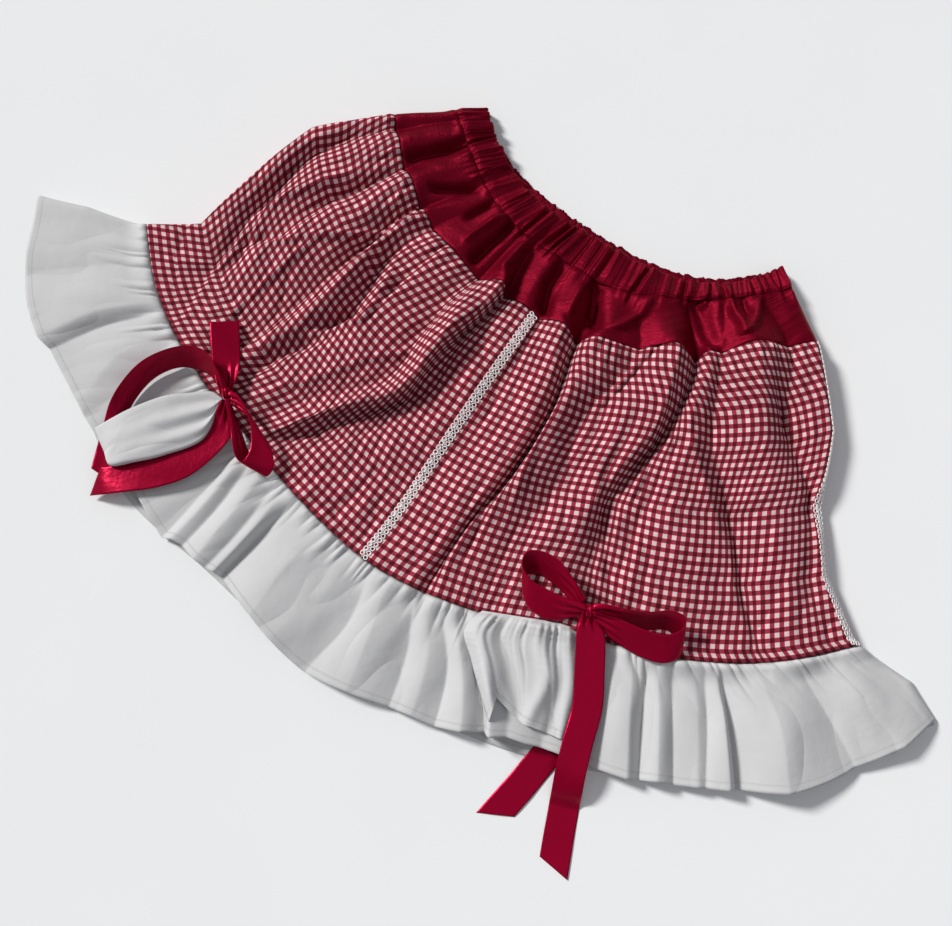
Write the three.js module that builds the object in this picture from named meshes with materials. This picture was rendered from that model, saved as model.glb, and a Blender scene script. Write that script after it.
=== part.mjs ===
// A gathered skirt laid out flat: satin waist casing and yoke, gingham body, white hem ruffle,
// gimp braid down the middle of the front and down the right side, and two ribbon bows.
// Millimetres. +Z is up from the surface it lies on, +Y towards the waist, +X across to the right.
import * as THREE from "three";
import { mergeVertices } from "three/addons/utils/BufferGeometryUtils.js";

// Cut sizes of the pieces
const casingHeight = 32; // double cloth over a 25 mm elastic
const yokeHeight = 58;
const bodyHeight = 262; // gingham, yoke seam to hem seam
const ruffleHeight = 100;
const ribbonWidth = 25;
const braidWidth = 9;

// Wall thicknesses and the clear gap between two pieces
const clothWall = 1.2;
const casingWall = 3.0;
const ribbonWall = 1.0;
const braidWall = 1.4;
const gap = 0.3;

// The skirt is laid as a fan: its lines run round one centre, which lies beyond the waist. All
// points are worked out from that centre, and moved to the middle of the skirt at the end.
const waistRadius = 198;
const gatherRadius = waistRadius + casingHeight;
const yokeRadius = gatherRadius + yokeHeight;
const hemRadius = yokeRadius + bodyHeight;
const edgeRadius = hemRadius + ruffleHeight;
const degree = Math.PI / 180;

// The five lines across the front, counted from the waist: 0 casing top, 1 gather line,
// 2 yoke seam, 3 hem seam, 4 ruffle edge
const LINES = { top: 0, gather: 1, yoke: 2, hem: 3, edge: 4 };
const lineRadius = [waistRadius, gatherRadius, yokeRadius, hemRadius, edgeRadius];

// How far each line strays from its arc, at even stations from the left side to the right side
const strays = [
  { top: 2, gather: 1, yoke: 5, hem: -12, edge: -16 },
  { top: 2, gather: -1, yoke: 9, hem: -2, edge: 8 },
  { top: 1, gather: 1, yoke: 12, hem: -2, edge: 4 },
  { top: 0, gather: 3, yoke: 12, hem: -4, edge: 2 },
  { top: -3, gather: 2, yoke: 6, hem: 2, edge: 0 },
  { top: -4, gather: 2, yoke: 6, hem: 9, edge: 10 },
  { top: 1, gather: 5, yoke: 9, hem: 4, edge: 2 },
  { top: 9, gather: 2, yoke: 3, hem: -7, edge: -8 },
  { top: 14, gather: 1, yoke: 2, hem: 2, edge: 4 },
  { top: 14, gather: 1, yoke: 1, hem: 5, edge: 2 },
  { top: 10, gather: 3, yoke: 4, hem: 1, edge: -26 },
];

// The two side folds: how far round they lie from the middle of the fan, in degrees
const sides = [
  { radius: 190, left: 50.7, right: 51.6 },
  { radius: 290, left: 51.6, right: 51.1 },
  { radius: 370, left: 50.8, right: 47.8 },
  { radius: 430, left: 45.6, right: 42.9 },
  { radius: 490, left: 41.0, right: 41.6 },
  { radius: 545, left: 42.9, right: 42.4 },
  { radius: 590, left: 46.0, right: 46.2 },
  { radius: 650, left: 48.9, right: 47.6 },
];

// The long folds of the front. at: where the crest crosses the gather line, the yoke seam, the
// middle of the gingham and the hem seam, in degrees. high: its height there. left and right: how
// far its slopes reach, in degrees. lean: how far the crest is pushed over, for each mm of height.
const folds = [
  { at: [-45, -46, -46, -40], high: [5, 12, 11, 9], left: 6.0, right: 5.5, lean: 0 },
  { at: [-35, -36, -35, -32], high: [5, 17, 18, 7], left: 5.0, right: 5.5, lean: 0.2 },
  { at: [-27, -28, -24, -24.5], high: [3, 13, 17, 4], left: 3.6, right: 5.0, lean: -0.5 },
  { at: [-20, -19, -17, -21], high: [7, 12, 14, 6], left: 6.0, right: 5.5, lean: 0.2 },
  { at: [-12, -12.6, -11, -17.5], high: [2, 17, 20, 6], left: 4.2, right: 3.0, lean: 0.55 },
  { at: [-5, -5, -4.5, -8], high: [8, 10, 9, 8], left: 5.5, right: 6.5, lean: 0 },
  { at: [2, 3.2, 4.8, 2.4], high: [3, 13, 11, 7], left: 4.5, right: 3.2, lean: 0.4 },
  { at: [12, 11, 7.8, 5.4], high: [6, 17, 18, 9], left: 3.2, right: 5.5, lean: -0.5 },
  { at: [22, 23.4, 17, 15.5], high: [8, 25, 13, 7], left: 5.5, right: 5.0, lean: 0.4 },
  { at: [31, 30.5, 27, 25.5], high: [4, 14, 17, 8], left: 3.6, right: 5.0, lean: -0.4 },
  { at: [38, 38.5, 36.5, 37], high: [7, 24, 18, 10], left: 5.5, right: 6.0, lean: 0 },
  { at: [47, 46.8, 43, 42], high: [6, 13, 10, 8], left: 4.5, right: 5.0, lean: 0 },
];

// The waves of the front ruffle, at the hem edge: where each crest lies, how far its slopes
// reach, its height, and how far it reaches past the edge's own line
const ruffleWaves = [
  { at: -46.0, reach: 3.4, high: 7, past: 0 },
  { at: -40.0, reach: 3.2, high: 10, past: 0 },
  { at: -34.6, reach: 2.8, high: 9, past: -2 },
  { at: -30.4, reach: 2.4, high: 11, past: 3 },
  { at: -25.0, reach: 2.0, high: 16, past: 4 },
  { at: -21.4, reach: 2.1, high: 10, past: -2 },
  { at: -17.4, reach: 2.2, high: 14, past: 8 },
  { at: -13.6, reach: 2.1, high: 9, past: 2 },
  { at: -10.0, reach: 2.2, high: 12, past: -3 },
  { at: -6.0, reach: 2.3, high: 8, past: -6 },
  { at: -1.6, reach: 2.6, high: 16, past: 5 },
  { at: 2.6, reach: 2.2, high: 10, past: 1 },
  { at: 6.2, reach: 1.9, high: 14, past: 0 },
  { at: 9.6, reach: 2.0, high: 11, past: 6 },
  { at: 13.2, reach: 2.0, high: 15, past: 2 },
  { at: 17.2, reach: 2.2, high: 12, past: 4 },
  { at: 21.8, reach: 2.2, high: 15, past: 6 },
  { at: 25.4, reach: 1.9, high: 10, past: 1 },
  { at: 28.8, reach: 1.9, high: 13, past: 0 },
  { at: 32.2, reach: 2.0, high: 9, past: 2 },
  { at: 36.0, reach: 2.3, high: 15, past: 6 },
  { at: 40.4, reach: 2.6, high: 10, past: -1 },
  { at: 45.0, reach: 3.0, high: 12, past: 2 },
];

// Small gathers drawn up along a seam, across the whole front
const casingGathers = { count: 38, high: 2.4 };
const yokeGathers = { count: 24, high: 1.7, run: 30 };
const bodyGathers = { count: 26, high: 1.5, run: 42 };
const hemGathers = { count: 44, high: 1.5, run: 32 };

// Fullness of the front over the back, at the five lines, and the roll of the side folds
const fullness = [3.5, 4.0, 4.5, 4.0, 2.0];
const sideRoll = 9;
const seamPull = 0.28; // a crest draws its seam this far towards the waist, for each mm of height

const frontMiddle = -0.032; // where the front braid lies, of the half width
const middleDrift = -0.022; // of the half width, from the yoke seam to the hem seam

// Spacing of the columns of points
const sideSteps = [0, 0.5, 2.6, 5.2, 9.5]; // mm in from a side fold, the braid's from the second on
const evenSpan = 0.95; // of the half width, where the even columns end
const braidClear = 0.036; // of the half width, clear on each side of the front braid's middle

// How much of a long fold is gone at the ruffle's edge and at the top of the casing
const foldFade = { ruffle: 0.85, casing: 0.75 };
// The steps over which the slope of a surface is taken
const probe = { sweep: 0.002, line: 0.01, station: 0.01 };
const knotDetail = 2; // how often the faces of a knot are parted

// Helpers
const clamp = (value, low, high) => Math.min(high, Math.max(low, value));
const mix = (a, b, t) => a + (b - a) * t;
const smooth = (t) => {
  const c = clamp(t, 0, 1);
  return c * c * (3 - 2 * c);
};

// A smooth curve through evenly spaced values, read at a place from 0 to the last index
function through(values, place) {
  const last = values.length - 1;
  const t = clamp(place, 0, last);
  const i = Math.min(Math.floor(t), last - 1);
  const before = values[Math.max(i - 1, 0)];
  const after = values[Math.min(i + 2, last)];
  const [a, b] = [values[i], values[i + 1]];
  const f = t - i;
  const bend = 3 * (a - b) + after - before;
  return a + 0.5 * f * (b - before + f * (2 * before - 5 * a + 4 * b - after + f * bend));
}

function sideAngle(radius, side) {
  const i = clamp(sides.findIndex((row) => row.radius > radius), 1, sides.length - 1);
  const next = radius >= sides[sides.length - 1].radius ? sides.length - 1 : i;
  const t = (radius - sides[next - 1].radius) / (sides[next].radius - sides[next - 1].radius);
  return mix(sides[next - 1][side], sides[next][side], clamp(t, 0, 1));
}

// The radius of a place on the front: sweep runs from -1 at the left side to 1 at the right,
// line from 0 at the waist to 4 at the ruffle's edge
function radiusAt(sweep, line) {
  const k = clamp(Math.floor(line), LINES.top, LINES.hem);
  const place = ((sweep + 1) / 2) * (strays.length - 1);
  const [inner, outer] = [k, k + 1].map((n) => {
    const name = Object.keys(LINES)[n];
    return lineRadius[n] + through(strays.map((row) => row[name]), place);
  });
  return mix(inner, outer, line - k);
}

// The angle of a place from the middle of the fan, in degrees. The middle of the cloth drifts a
// little to the left on its way down the body.
function angleAt(sweep, line, radius) {
  const drift = middleDrift * (line - LINES.yoke) * (1 - sweep * sweep);
  return (sweep + drift) * sideAngle(radius, sweep < 0 ? "left" : "right");
}

// Where a fold's table is read: 0 gather line, 1 yoke seam, 2 middle of the body, 3 hem seam
function foldPlace(line) {
  if (line <= LINES.yoke) return clamp(line - 1, 0, 1);
  return clamp(1 + 2 * (line - LINES.yoke), 1, 3);
}

const bump = (offset) => {
  const s = Math.abs(offset);
  return s < 1 ? Math.cos((s * Math.PI) / 2) ** 2 : 0;
};

// Rounded gathers: from 0 in the tucks to 1 on the crests, uneven as a drawn thread leaves them
function gathers(sweep, count) {
  const phase = (sweep + 1) * 0.5 * count + 0.22 * Math.sin(sweep * 17) + 0.15 * Math.sin(sweep * 41);
  return Math.abs(Math.sin(phase * Math.PI)) * (0.75 + 0.25 * Math.sin(phase * 2.3));
}

// How the front rises over the layer below at one place: its height, and how far it leans over
function rise(sweep, line, angle) {
  const onRuffle = clamp(line - LINES.hem, 0, 1);
  const onCasing = clamp(LINES.gather - line, 0, 1);
  const fade = (1 - foldFade.ruffle * smooth(onRuffle)) * (1 - foldFade.casing * smooth(onCasing));
  let high = through(fullness, line);
  let over = 0;
  for (const fold of folds) {
    const off = angle - through(fold.at, foldPlace(line));
    const reach = off < 0 ? fold.left : fold.right;
    const height = through(fold.high, foldPlace(line)) * bump(off / reach) * fade;
    high += height;
    over += height * fold.lean;
  }
  return { high: high + fineRise(sweep, line, angle), over };
}

// Gathers and ruffle waves, all still at the seams, so that two pieces meet there
function fineRise(sweep, line, angle) {
  if (line < LINES.gather) {
    const along = LINES.gather - line;
    return casingGathers.high * gathers(sweep, casingGathers.count) * smooth(along * 5);
  }
  if (line < LINES.yoke) {
    const down = (line - LINES.gather) * yokeHeight;
    const drawn = smooth(down / 8) * (1 - smooth(down / yokeGathers.run));
    return yokeGathers.high * gathers(sweep, yokeGathers.count) * drawn * 2;
  }
  if (line < LINES.hem) {
    const down = (line - LINES.yoke) * bodyHeight;
    const drawn = smooth(down / 10) * (1 - smooth(down / bodyGathers.run));
    return bodyGathers.high * gathers(sweep, bodyGathers.count) * drawn * 2;
  }
  const out = clamp(line - LINES.hem, 0, 1);
  const down = out * ruffleHeight;
  const drawn = smooth(down / 10) * (1 - smooth(down / hemGathers.run));
  let high = hemGathers.high * gathers(sweep, hemGathers.count) * drawn * 2;
  for (const wave of ruffleWaves) {
    high += wave.high * bump((angle - wave.at) / wave.reach) * smooth(out * 1.15);
  }
  return high;
}

// How far the ruffle's edge is carried past its line by its waves
function pastEdge(angle, line) {
  const out = clamp(line - LINES.hem, 0, 1);
  let past = 0;
  for (const wave of ruffleWaves) {
    past += wave.past * bump((angle - wave.at) / (wave.reach * 0.8));
  }
  return past * out;
}

// The lowest middle of the front's wall that stays clear of the back: higher at the thick casing
function restHeight(line) {
  const onBody = clothWall + gap + clothWall / 2;
  const onCasing = casingWall + gap + casingWall / 2;
  return mix(onCasing, onBody, smooth(line - 0.8)) + 0.15;
}

// The middle of the front's cloth
function front(sweep, line) {
  const radius = radiusAt(sweep, line);
  const angle = angleAt(sweep, line, radius);
  const { high, over } = rise(sweep, line, angle);
  const inset = (1 - Math.abs(sweep)) * sideAngle(radius, sweep < 0 ? "left" : "right");
  const fromSide = clamp((inset * degree * radius) / sideRoll, 0, 1);
  const roll = Math.sqrt(1 - (1 - fromSide) ** 2);
  const foldOnly = Math.max(0, high - through(fullness, line)) * roll;
  const pulled = radius - seamPull * foldOnly * smooth(1 - Math.abs(line - LINES.yoke) / 0.8)
    + pastEdge(angle, line);
  const turned = angle * degree + (over * roll) / radius;
  return new THREE.Vector3(
    pulled * Math.sin(turned),
    -pulled * Math.cos(turned),
    (restHeight(line) + high) * roll,
  );
}

// The middle of the back's cloth, flat on the surface and a little past the front in places
const backStrays = [
  { top: 2, gather: 1, yoke: 4, hem: -10, edge: -12 },
  { top: 0, gather: 0, yoke: 4, hem: -2, edge: 2 },
  { top: -6, gather: 0, yoke: 5, hem: -2, edge: -2 },
  { top: -11, gather: 0, yoke: 5, hem: 0, edge: 11 },
  { top: -14, gather: 0, yoke: 4, hem: 0, edge: 0 },
  { top: -13, gather: 0, yoke: 3, hem: 4, edge: 4 },
  { top: -8, gather: 0, yoke: 3, hem: 2, edge: 0 },
  { top: -1, gather: 0, yoke: 2, hem: 0, edge: 2 },
  { top: 5, gather: 0, yoke: 2, hem: 0, edge: 0 },
  { top: 7, gather: 0, yoke: 2, hem: 2, edge: -2 },
  { top: 8, gather: 1, yoke: 4, hem: 0, edge: -22 },
];
const backInset = 3.2; // the back's side edges lie just inside the roll of the front

function back(sweep, line, wall) {
  const k = clamp(Math.floor(line), LINES.top, LINES.hem);
  const place = ((sweep + 1) / 2) * (backStrays.length - 1);
  const [inner, outer] = [k, k + 1].map((n) => {
    const name = Object.keys(LINES)[n];
    return lineRadius[n] + through(backStrays.map((row) => row[name]), place);
  });
  const radius = mix(inner, outer, line - k);
  const angle = angleAt(sweep, line, radius) * degree - (sweep * backInset) / radius;
  return new THREE.Vector3(
    radius * Math.sin(angle),
    -radius * Math.cos(angle),
    wall / 2,
  );
}

// Solid walls: two grids of points, one over the other, closed round their rims
function closedWall(upper, lower) {
  const rows = upper.length;
  const columns = upper[0].length;
  const position = [];
  for (const grid of [upper, lower]) {
    for (const row of grid) {
      for (const point of row) position.push(point.x, point.y, point.z);
    }
  }
  const top = (j, i) => j * columns + i;
  const under = (j, i) => rows * columns + top(j, i);
  const index = [];
  const quad = (a, b, c, d) => index.push(a, b, c, a, c, d);
  for (let j = 0; j < rows - 1; j++) {
    for (let i = 0; i < columns - 1; i++) {
      // Each square is parted along the diagonal that climbs less, so that edges follow a crest
      const fall = Math.abs(upper[j][i].z - upper[j + 1][i + 1].z);
      const climb = Math.abs(upper[j + 1][i].z - upper[j][i + 1].z);
      if (fall <= climb) {
        quad(top(j, i), top(j + 1, i), top(j + 1, i + 1), top(j, i + 1));
        quad(under(j, i), under(j, i + 1), under(j + 1, i + 1), under(j + 1, i));
      } else {
        quad(top(j + 1, i), top(j + 1, i + 1), top(j, i + 1), top(j, i));
        quad(under(j, i + 1), under(j + 1, i + 1), under(j + 1, i), under(j, i));
      }
    }
  }
  for (let i = 0; i < columns - 1; i++) {
    quad(top(0, i), top(0, i + 1), under(0, i + 1), under(0, i));
    quad(top(rows - 1, i + 1), top(rows - 1, i), under(rows - 1, i), under(rows - 1, i + 1));
  }
  for (let j = 0; j < rows - 1; j++) {
    quad(top(j + 1, 0), top(j, 0), under(j, 0), under(j + 1, 0));
    quad(top(j, columns - 1), top(j + 1, columns - 1), under(j + 1, columns - 1), under(j, columns - 1));
  }
  const geometry = new THREE.BufferGeometry();
  geometry.setAttribute("position", new THREE.Float32BufferAttribute(position, 3));
  geometry.setIndex(index);
  geometry.computeVertexNormals();
  return geometry;
}

// The outward direction of a surface given as a function of two places
function normalOf(surface, u, v, du, dv) {
  const across = surface(u + du, v).sub(surface(u - du, v));
  const down = surface(u, v + dv).sub(surface(u, v - dv));
  return down.cross(across).normalize();
}

// Nothing reaches below the surface the skirt lies on
function onSurface(point) {
  point.z = Math.max(point.z, 0);
  return point;
}

// A wall of one thickness whose middle follows a surface. columns gives the places across for a row.
function wallOn(surface, columns, rows, wall) {
  const upper = [];
  const lower = [];
  for (const v of rows) {
    const over = [];
    const under = [];
    for (const u of columns(v)) {
      const middle = surface(u, v);
      const out = normalOf(surface, u, v, probe.sweep, probe.line).multiplyScalar(wall / 2);
      over.push(onSurface(middle.clone().add(out)));
      under.push(onSurface(middle.clone().sub(out)));
    }
    upper.push(over);
    lower.push(under);
  }
  return closedWall(upper, lower);
}

const evenly = (from, to, steps) =>
  Array.from({ length: steps + 1 }, (_, i) => mix(from, to, i / steps));

// Half the width of the front at a place, in mm along the arc
function halfWidth(sweep, line) {
  const radius = radiusAt(sweep, line);
  return sideAngle(radius, sweep < 0 ? "left" : "right") * degree * radius;
}

// Columns across the front: close together on the roll of each side, even ones between, and with
// the front braid, its two edges and its middle
function columnsAcross(steps, braided = false) {
  return (line) => {
    const near = sideSteps.map((distance) => 1 - distance / halfWidth(1, line));
    const left = near.map((sweep) => -sweep);
    const right = [...near].reverse();
    if (!braided) return [...left, ...evenly(-evenSpan, evenSpan, steps), ...right];
    const half = braidWidth / 2 / halfWidth(frontMiddle, line);
    const share = Math.round((steps * (frontMiddle + evenSpan)) / (2 * evenSpan));
    return [
      ...left,
      ...evenly(-evenSpan, frontMiddle - braidClear, share),
      frontMiddle - half,
      frontMiddle,
      frontMiddle + half,
      ...evenly(frontMiddle + braidClear, evenSpan, steps - share),
      ...right,
    ];
  };
}

// Rows from one line to the next, drawn in at both ends for the gap at the seams
function rowsBetween(from, steps) {
  const height = [casingHeight, yokeHeight, bodyHeight, ruffleHeight][from];
  const inset = gap / 2 / height;
  return evenly(from + inset, from + 1 - inset, steps);
}

const skirt = new THREE.Group();

function addPiece(name, geometry, material) {
  const mesh = new THREE.Mesh(geometry, material);
  mesh.name = name;
  skirt.add(mesh);
  return mesh;
}

const finish = (color, roughness) =>
  new THREE.MeshStandardMaterial({ color, roughness, metalness: 0 });
const taffeta = finish(0x8c0d24, 0.45);
const gingham = finish(0xb8566a, 0.85);
const poplin = finish(0xf1f1ef, 0.85);
const satinRibbon = finish(0xa00528, 0.3);
const gimp = finish(0xf4f2ec, 0.8);

// Front pieces
addPiece("casing_front", wallOn(front, columnsAcross(104), rowsBetween(LINES.top, 2), casingWall), taffeta);
addPiece("yoke_front", wallOn(front, columnsAcross(72), rowsBetween(LINES.gather, 4), clothWall), taffeta);
const bodyRows = rowsBetween(LINES.yoke, 11);
const bodyColumns = columnsAcross(84, true);
addPiece("gingham_front", wallOn(front, bodyColumns, bodyRows, clothWall), gingham);
addPiece("ruffle_front", wallOn(front, columnsAcross(150), rowsBetween(LINES.hem, 4), clothWall), poplin);

// Back pieces
const flat = (wall) => (sweep, line) => back(sweep, line, wall);
const backColumns = (steps) => () => evenly(-1, 1, steps);
const backPieces = [
  { name: "casing_back", from: LINES.top, columns: 36, rows: 1, wall: casingWall, cloth: taffeta },
  { name: "yoke_back", from: LINES.gather, columns: 36, rows: 2, wall: clothWall, cloth: taffeta },
  { name: "gingham_back", from: LINES.yoke, columns: 24, rows: 11, wall: clothWall, cloth: gingham },
  { name: "ruffle_back", from: LINES.hem, columns: 36, rows: 4, wall: clothWall, cloth: poplin },
];
for (const { name, from, columns, rows, wall, cloth } of backPieces) {
  addPiece(name, wallOn(flat(wall), backColumns(columns), rowsBetween(from, rows), wall), cloth);
}

// A braid lies on chosen columns of the gingham, moved out from the cloth
function addBraid(name, columns) {
  const lift = clothWall / 2 + gap + braidWall / 2;
  const onCloth = (sweep, line) =>
    front(sweep, line).add(
      normalOf(front, sweep, line, probe.sweep, probe.line).multiplyScalar(lift));
  addPiece(name, wallOn(onCloth, columns, bodyRows, braidWall), gimp);
}
const firstOfBraid = (line) =>
  bodyColumns(line).findIndex((sweep) => Math.abs(sweep - frontMiddle) < 1e-9) - 1;
addBraid("braid_front", (line) => bodyColumns(line).slice(firstOfBraid(line), firstOfBraid(line) + 3));
addBraid("braid_side", (line) => bodyColumns(line).slice(-5, -1));

// The ribbons of the two bows. Each row of a path, from the fan's centre: x, y, z of the ribbon's
// middle, the way its upper edge points (degrees round from +X), how steeply it stands (degrees
// up from lying flat), and how far its folds spread it.
const ribbons = [
  {
    name: "bow_left_loop_long",
    path: [
      { x: -212, y: -490, z: 25.5, way: 115, stand: 60, wide: 15 },
      { x: -224, y: -485, z: 26.5, way: 118, stand: 55, wide: 22 },
      { x: -240, y: -482, z: 23.5, way: 121, stand: 50, wide: 25 },
      { x: -254, y: -484, z: 22.5, way: 123, stand: 48, wide: 25 },
      { x: -266, y: -494, z: 23, way: 125, stand: 48, wide: 25 },
      { x: -274, y: -511, z: 23.5, way: 127, stand: 48, wide: 25 },
      { x: -278, y: -530, z: 23.5, way: 129, stand: 48, wide: 25 },
      { x: -279, y: -547, z: 23.5, way: 130, stand: 48, wide: 25 },
    ],
  },
  {
    name: "bow_left_loop_back",
    path: [
      { x: -198, y: -508, z: 23, way: 5, stand: -15, wide: 12 },
      { x: -196, y: -520, z: 19, way: -5, stand: -8, wide: 19 },
      { x: -196, y: -540, z: 18, way: -10, stand: 0, wide: 25 },
      { x: -204, y: -564, z: 18, way: -30, stand: 0, wide: 25 },
      { x: -219, y: -588, z: 18, way: -43, stand: 0, wide: 25 },
      { x: -238, y: -607, z: 17, way: -50, stand: 0, wide: 25 },
      { x: -256, y: -621, z: 10, way: -60, stand: 0, wide: 25 },
    ],
  },
  {
    name: "bow_left_loop_short",
    path: [
      { x: -192, y: -501, z: 26, way: 150, stand: 60, wide: 14 },
      { x: -174, y: -503, z: 27, way: 155, stand: 55, wide: 22 },
      { x: -156, y: -511, z: 27, way: 160, stand: 50, wide: 25 },
      { x: -142, y: -524, z: 25, way: 165, stand: 50, wide: 25 },
      { x: -136, y: -538, z: 23, way: 166, stand: 50, wide: 25 },
      { x: -142, y: -547, z: 23, way: 166, stand: 50, wide: 25 },
      { x: -153, y: -544, z: 25, way: 166, stand: 50, wide: 25 },
      { x: -167, y: -532, z: 26, way: 163, stand: 55, wide: 25 },
      { x: -180, y: -520, z: 26, way: 160, stand: 58, wide: 20 },
      { x: -192, y: -509, z: 26, way: 155, stand: 60, wide: 14 },
    ],
  },
  {
    name: "bow_left_end",
    path: [
      { x: -208, y: -484, z: 18.7, way: 45, stand: 10, wide: 12 },
      { x: -217, y: -474, z: 16.7, way: 45, stand: 5, wide: 20 },
      { x: -230, y: -460, z: 16.2, way: 42, stand: 0, wide: 25 },
      { x: -247, y: -441, z: 15.2, way: 38, stand: 0, wide: 25 },
    ],
  },
  {
    name: "bow_right_loop_left",
    path: [
      { x: 155, y: -492, z: 25, way: 95, stand: 60, wide: 14 },
      { x: 141, y: -486, z: 25, way: 105, stand: 55, wide: 22 },
      { x: 121, y: -483, z: 25, way: 112, stand: 50, wide: 25 },
      { x: 105, y: -486, z: 25, way: 116, stand: 50, wide: 25 },
      { x: 98, y: -497, z: 26, way: 120, stand: 50, wide: 25 },
      { x: 105, y: -510, z: 25, way: 118, stand: 50, wide: 25 },
      { x: 120, y: -516, z: 23, way: 114, stand: 50, wide: 25 },
      { x: 138, y: -514, z: 23, way: 108, stand: 55, wide: 22 },
      { x: 155.5, y: -504, z: 23, way: 100, stand: 60, wide: 14 },
    ],
  },
  {
    name: "bow_right_loop_right",
    path: [
      { x: 173, y: -495.5, z: 23.9, way: 121, stand: 60, wide: 14 },
      { x: 188, y: -489, z: 22.9, way: 121, stand: 55, wide: 22 },
      { x: 206, y: -481, z: 24.9, way: 121, stand: 50, wide: 25 },
      { x: 224, y: -473, z: 26.9, way: 121, stand: 50, wide: 25 },
      { x: 240, y: -472, z: 26.9, way: 121, stand: 50, wide: 25 },
      { x: 248, y: -482, z: 25.9, way: 121, stand: 50, wide: 25 },
      { x: 239, y: -494, z: 24.9, way: 121, stand: 50, wide: 25 },
      { x: 222, y: -500, z: 24.9, way: 121, stand: 50, wide: 25 },
      { x: 205, y: -502, z: 23.9, way: 119, stand: 52, wide: 25 },
      { x: 188, y: -504, z: 22.9, way: 115, stand: 55, wide: 20 },
      { x: 173.5, y: -504, z: 23.9, way: 112, stand: 60, wide: 14 },
    ],
  },
  {
    name: "bow_right_end_long",
    slant: 9,
    path: [
      { x: 167, y: -510.5, z: 17.6, way: 15, stand: 0, wide: 13 },
      { x: 175, y: -524, z: 15.6, way: 24, stand: 0, wide: 20 },
      { x: 190, y: -543, z: 14.6, way: 30, stand: 0, wide: 25 },
      { x: 202, y: -568, z: 14.6, way: 22, stand: 0, wide: 25 },
      { x: 209, y: -596, z: 14.6, way: 16, stand: 0, wide: 25 },
      { x: 215, y: -617, z: 13.1, way: 15, stand: 0, wide: 25 },
      { x: 221, y: -633, z: 5, way: 16, stand: 0, wide: 25 },
      { x: 226, y: -645, z: 0.6, way: 17, stand: 0, wide: 25 },
      { x: 234, y: -668, z: 0.5, way: 17, stand: 0, wide: 25 },
      { x: 242, y: -690, z: 0.5, way: 17, stand: 0, wide: 25 },
    ],
  },
  {
    name: "bow_right_end_short",
    slant: -14,
    path: [
      { x: 194, y: -612, z: 2.4, way: -2, stand: 0, wide: 25 },
      { x: 191, y: -628, z: 2.3, way: -5, stand: 0, wide: 25 },
      { x: 188, y: -646, z: 2.1, way: -8, stand: 0, wide: 25 },
      { x: 185, y: -660, z: 0.7, way: -10, stand: 0, wide: 25 },
      { x: 182, y: -677, z: 0.5, way: -10, stand: 0, wide: 25 },
    ],
  },
];
const ribbonSteps = 3; // stations from one row of a path to the next
const ribbonPleat = 2.2; // how deep the ribbon is creased where a knot draws it in

for (const { name, path, slant = 0 } of ribbons) {
  const read = (key, place) => through(path.map((row) => row[key]), place);
  const last = path.length - 1;
  const station = (place) =>
    new THREE.Vector3(read("x", place), read("y", place), Math.max(read("z", place), ribbonWall / 2));
  const onRibbon = (across, place) => {
    const centre = station(place);
    const [next, before] = [Math.min(place + probe.station, last), Math.max(place - probe.station, 0)];
    const ahead = station(next).sub(station(before)).normalize();
    const [way, stand] = [read("way", place) * degree, read("stand", place) * degree];
    const edge = new THREE.Vector3(
      Math.cos(way) * Math.cos(stand),
      Math.sin(way) * Math.cos(stand),
      Math.sin(stand),
    );
    const face = ahead.clone().cross(edge).normalize();
    const drawn = 1 - read("wide", place) / ribbonWidth;
    const crease = Math.cos(2 * Math.PI * across) * drawn * ribbonPleat;
    const cut = across * slant * smooth(place - last + 1);
    return centre
      .add(edge.multiplyScalar((across * read("wide", place)) / 2))
      .add(face.multiplyScalar(crease))
      .add(ahead.multiplyScalar(cut));
  };
  const normalAt = (across, place) => {
    const [next, before] = [Math.min(place + probe.station, last), Math.max(place - probe.station, 0)];
    const along = onRibbon(across, next).sub(onRibbon(across, before));
    const over = onRibbon(across + probe.station, place).sub(onRibbon(across - probe.station, place));
    return along.cross(over).normalize();
  };
  const columns = [-1, -0.5, 0, 0.5, 1];
  const sheets = [0.5, -0.5].map((side) =>
    evenly(0, last, last * ribbonSteps).map((place) =>
      columns.map((across) =>
        onSurface(onRibbon(across, place).add(normalAt(across, place).multiplyScalar(side * ribbonWall))))));
  addPiece(name, closedWall(...sheets), satinRibbon);
}

// The knots: small rounded lumps, longer along the wrap of the ribbon
const knots = [
  { name: "bow_left_knot", x: -202, y: -497, z: 23.5, long: 11, wide: 7, high: 8, turn: -55 },
  { name: "bow_right_knot", x: 164.5, y: -499, z: 22.5, long: 10, wide: 7.6, high: 8, turn: -60 },
];
for (const { name, x, y, z, long, wide, high, turn } of knots) {
  const round = new THREE.IcosahedronGeometry(1, knotDetail);
  const lump = mergeVertices(round.deleteAttribute("normal").deleteAttribute("uv"));
  lump.scale(long, wide, high).rotateZ(turn * degree).translate(x, y, z);
  lump.computeVertexNormals();
  addPiece(name, lump, satinRibbon);
}

skirt.updateMatrixWorld(true);
const box = new THREE.Box3().setFromObject(skirt);
const middle = box.getCenter(new THREE.Vector3());
for (const mesh of skirt.children) mesh.geometry.translate(-middle.x, -middle.y, 0);
export default skirt;
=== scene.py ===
import math

import bmesh
import bpy
import numpy as np
from mathutils import Euler, Matrix, Vector


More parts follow.
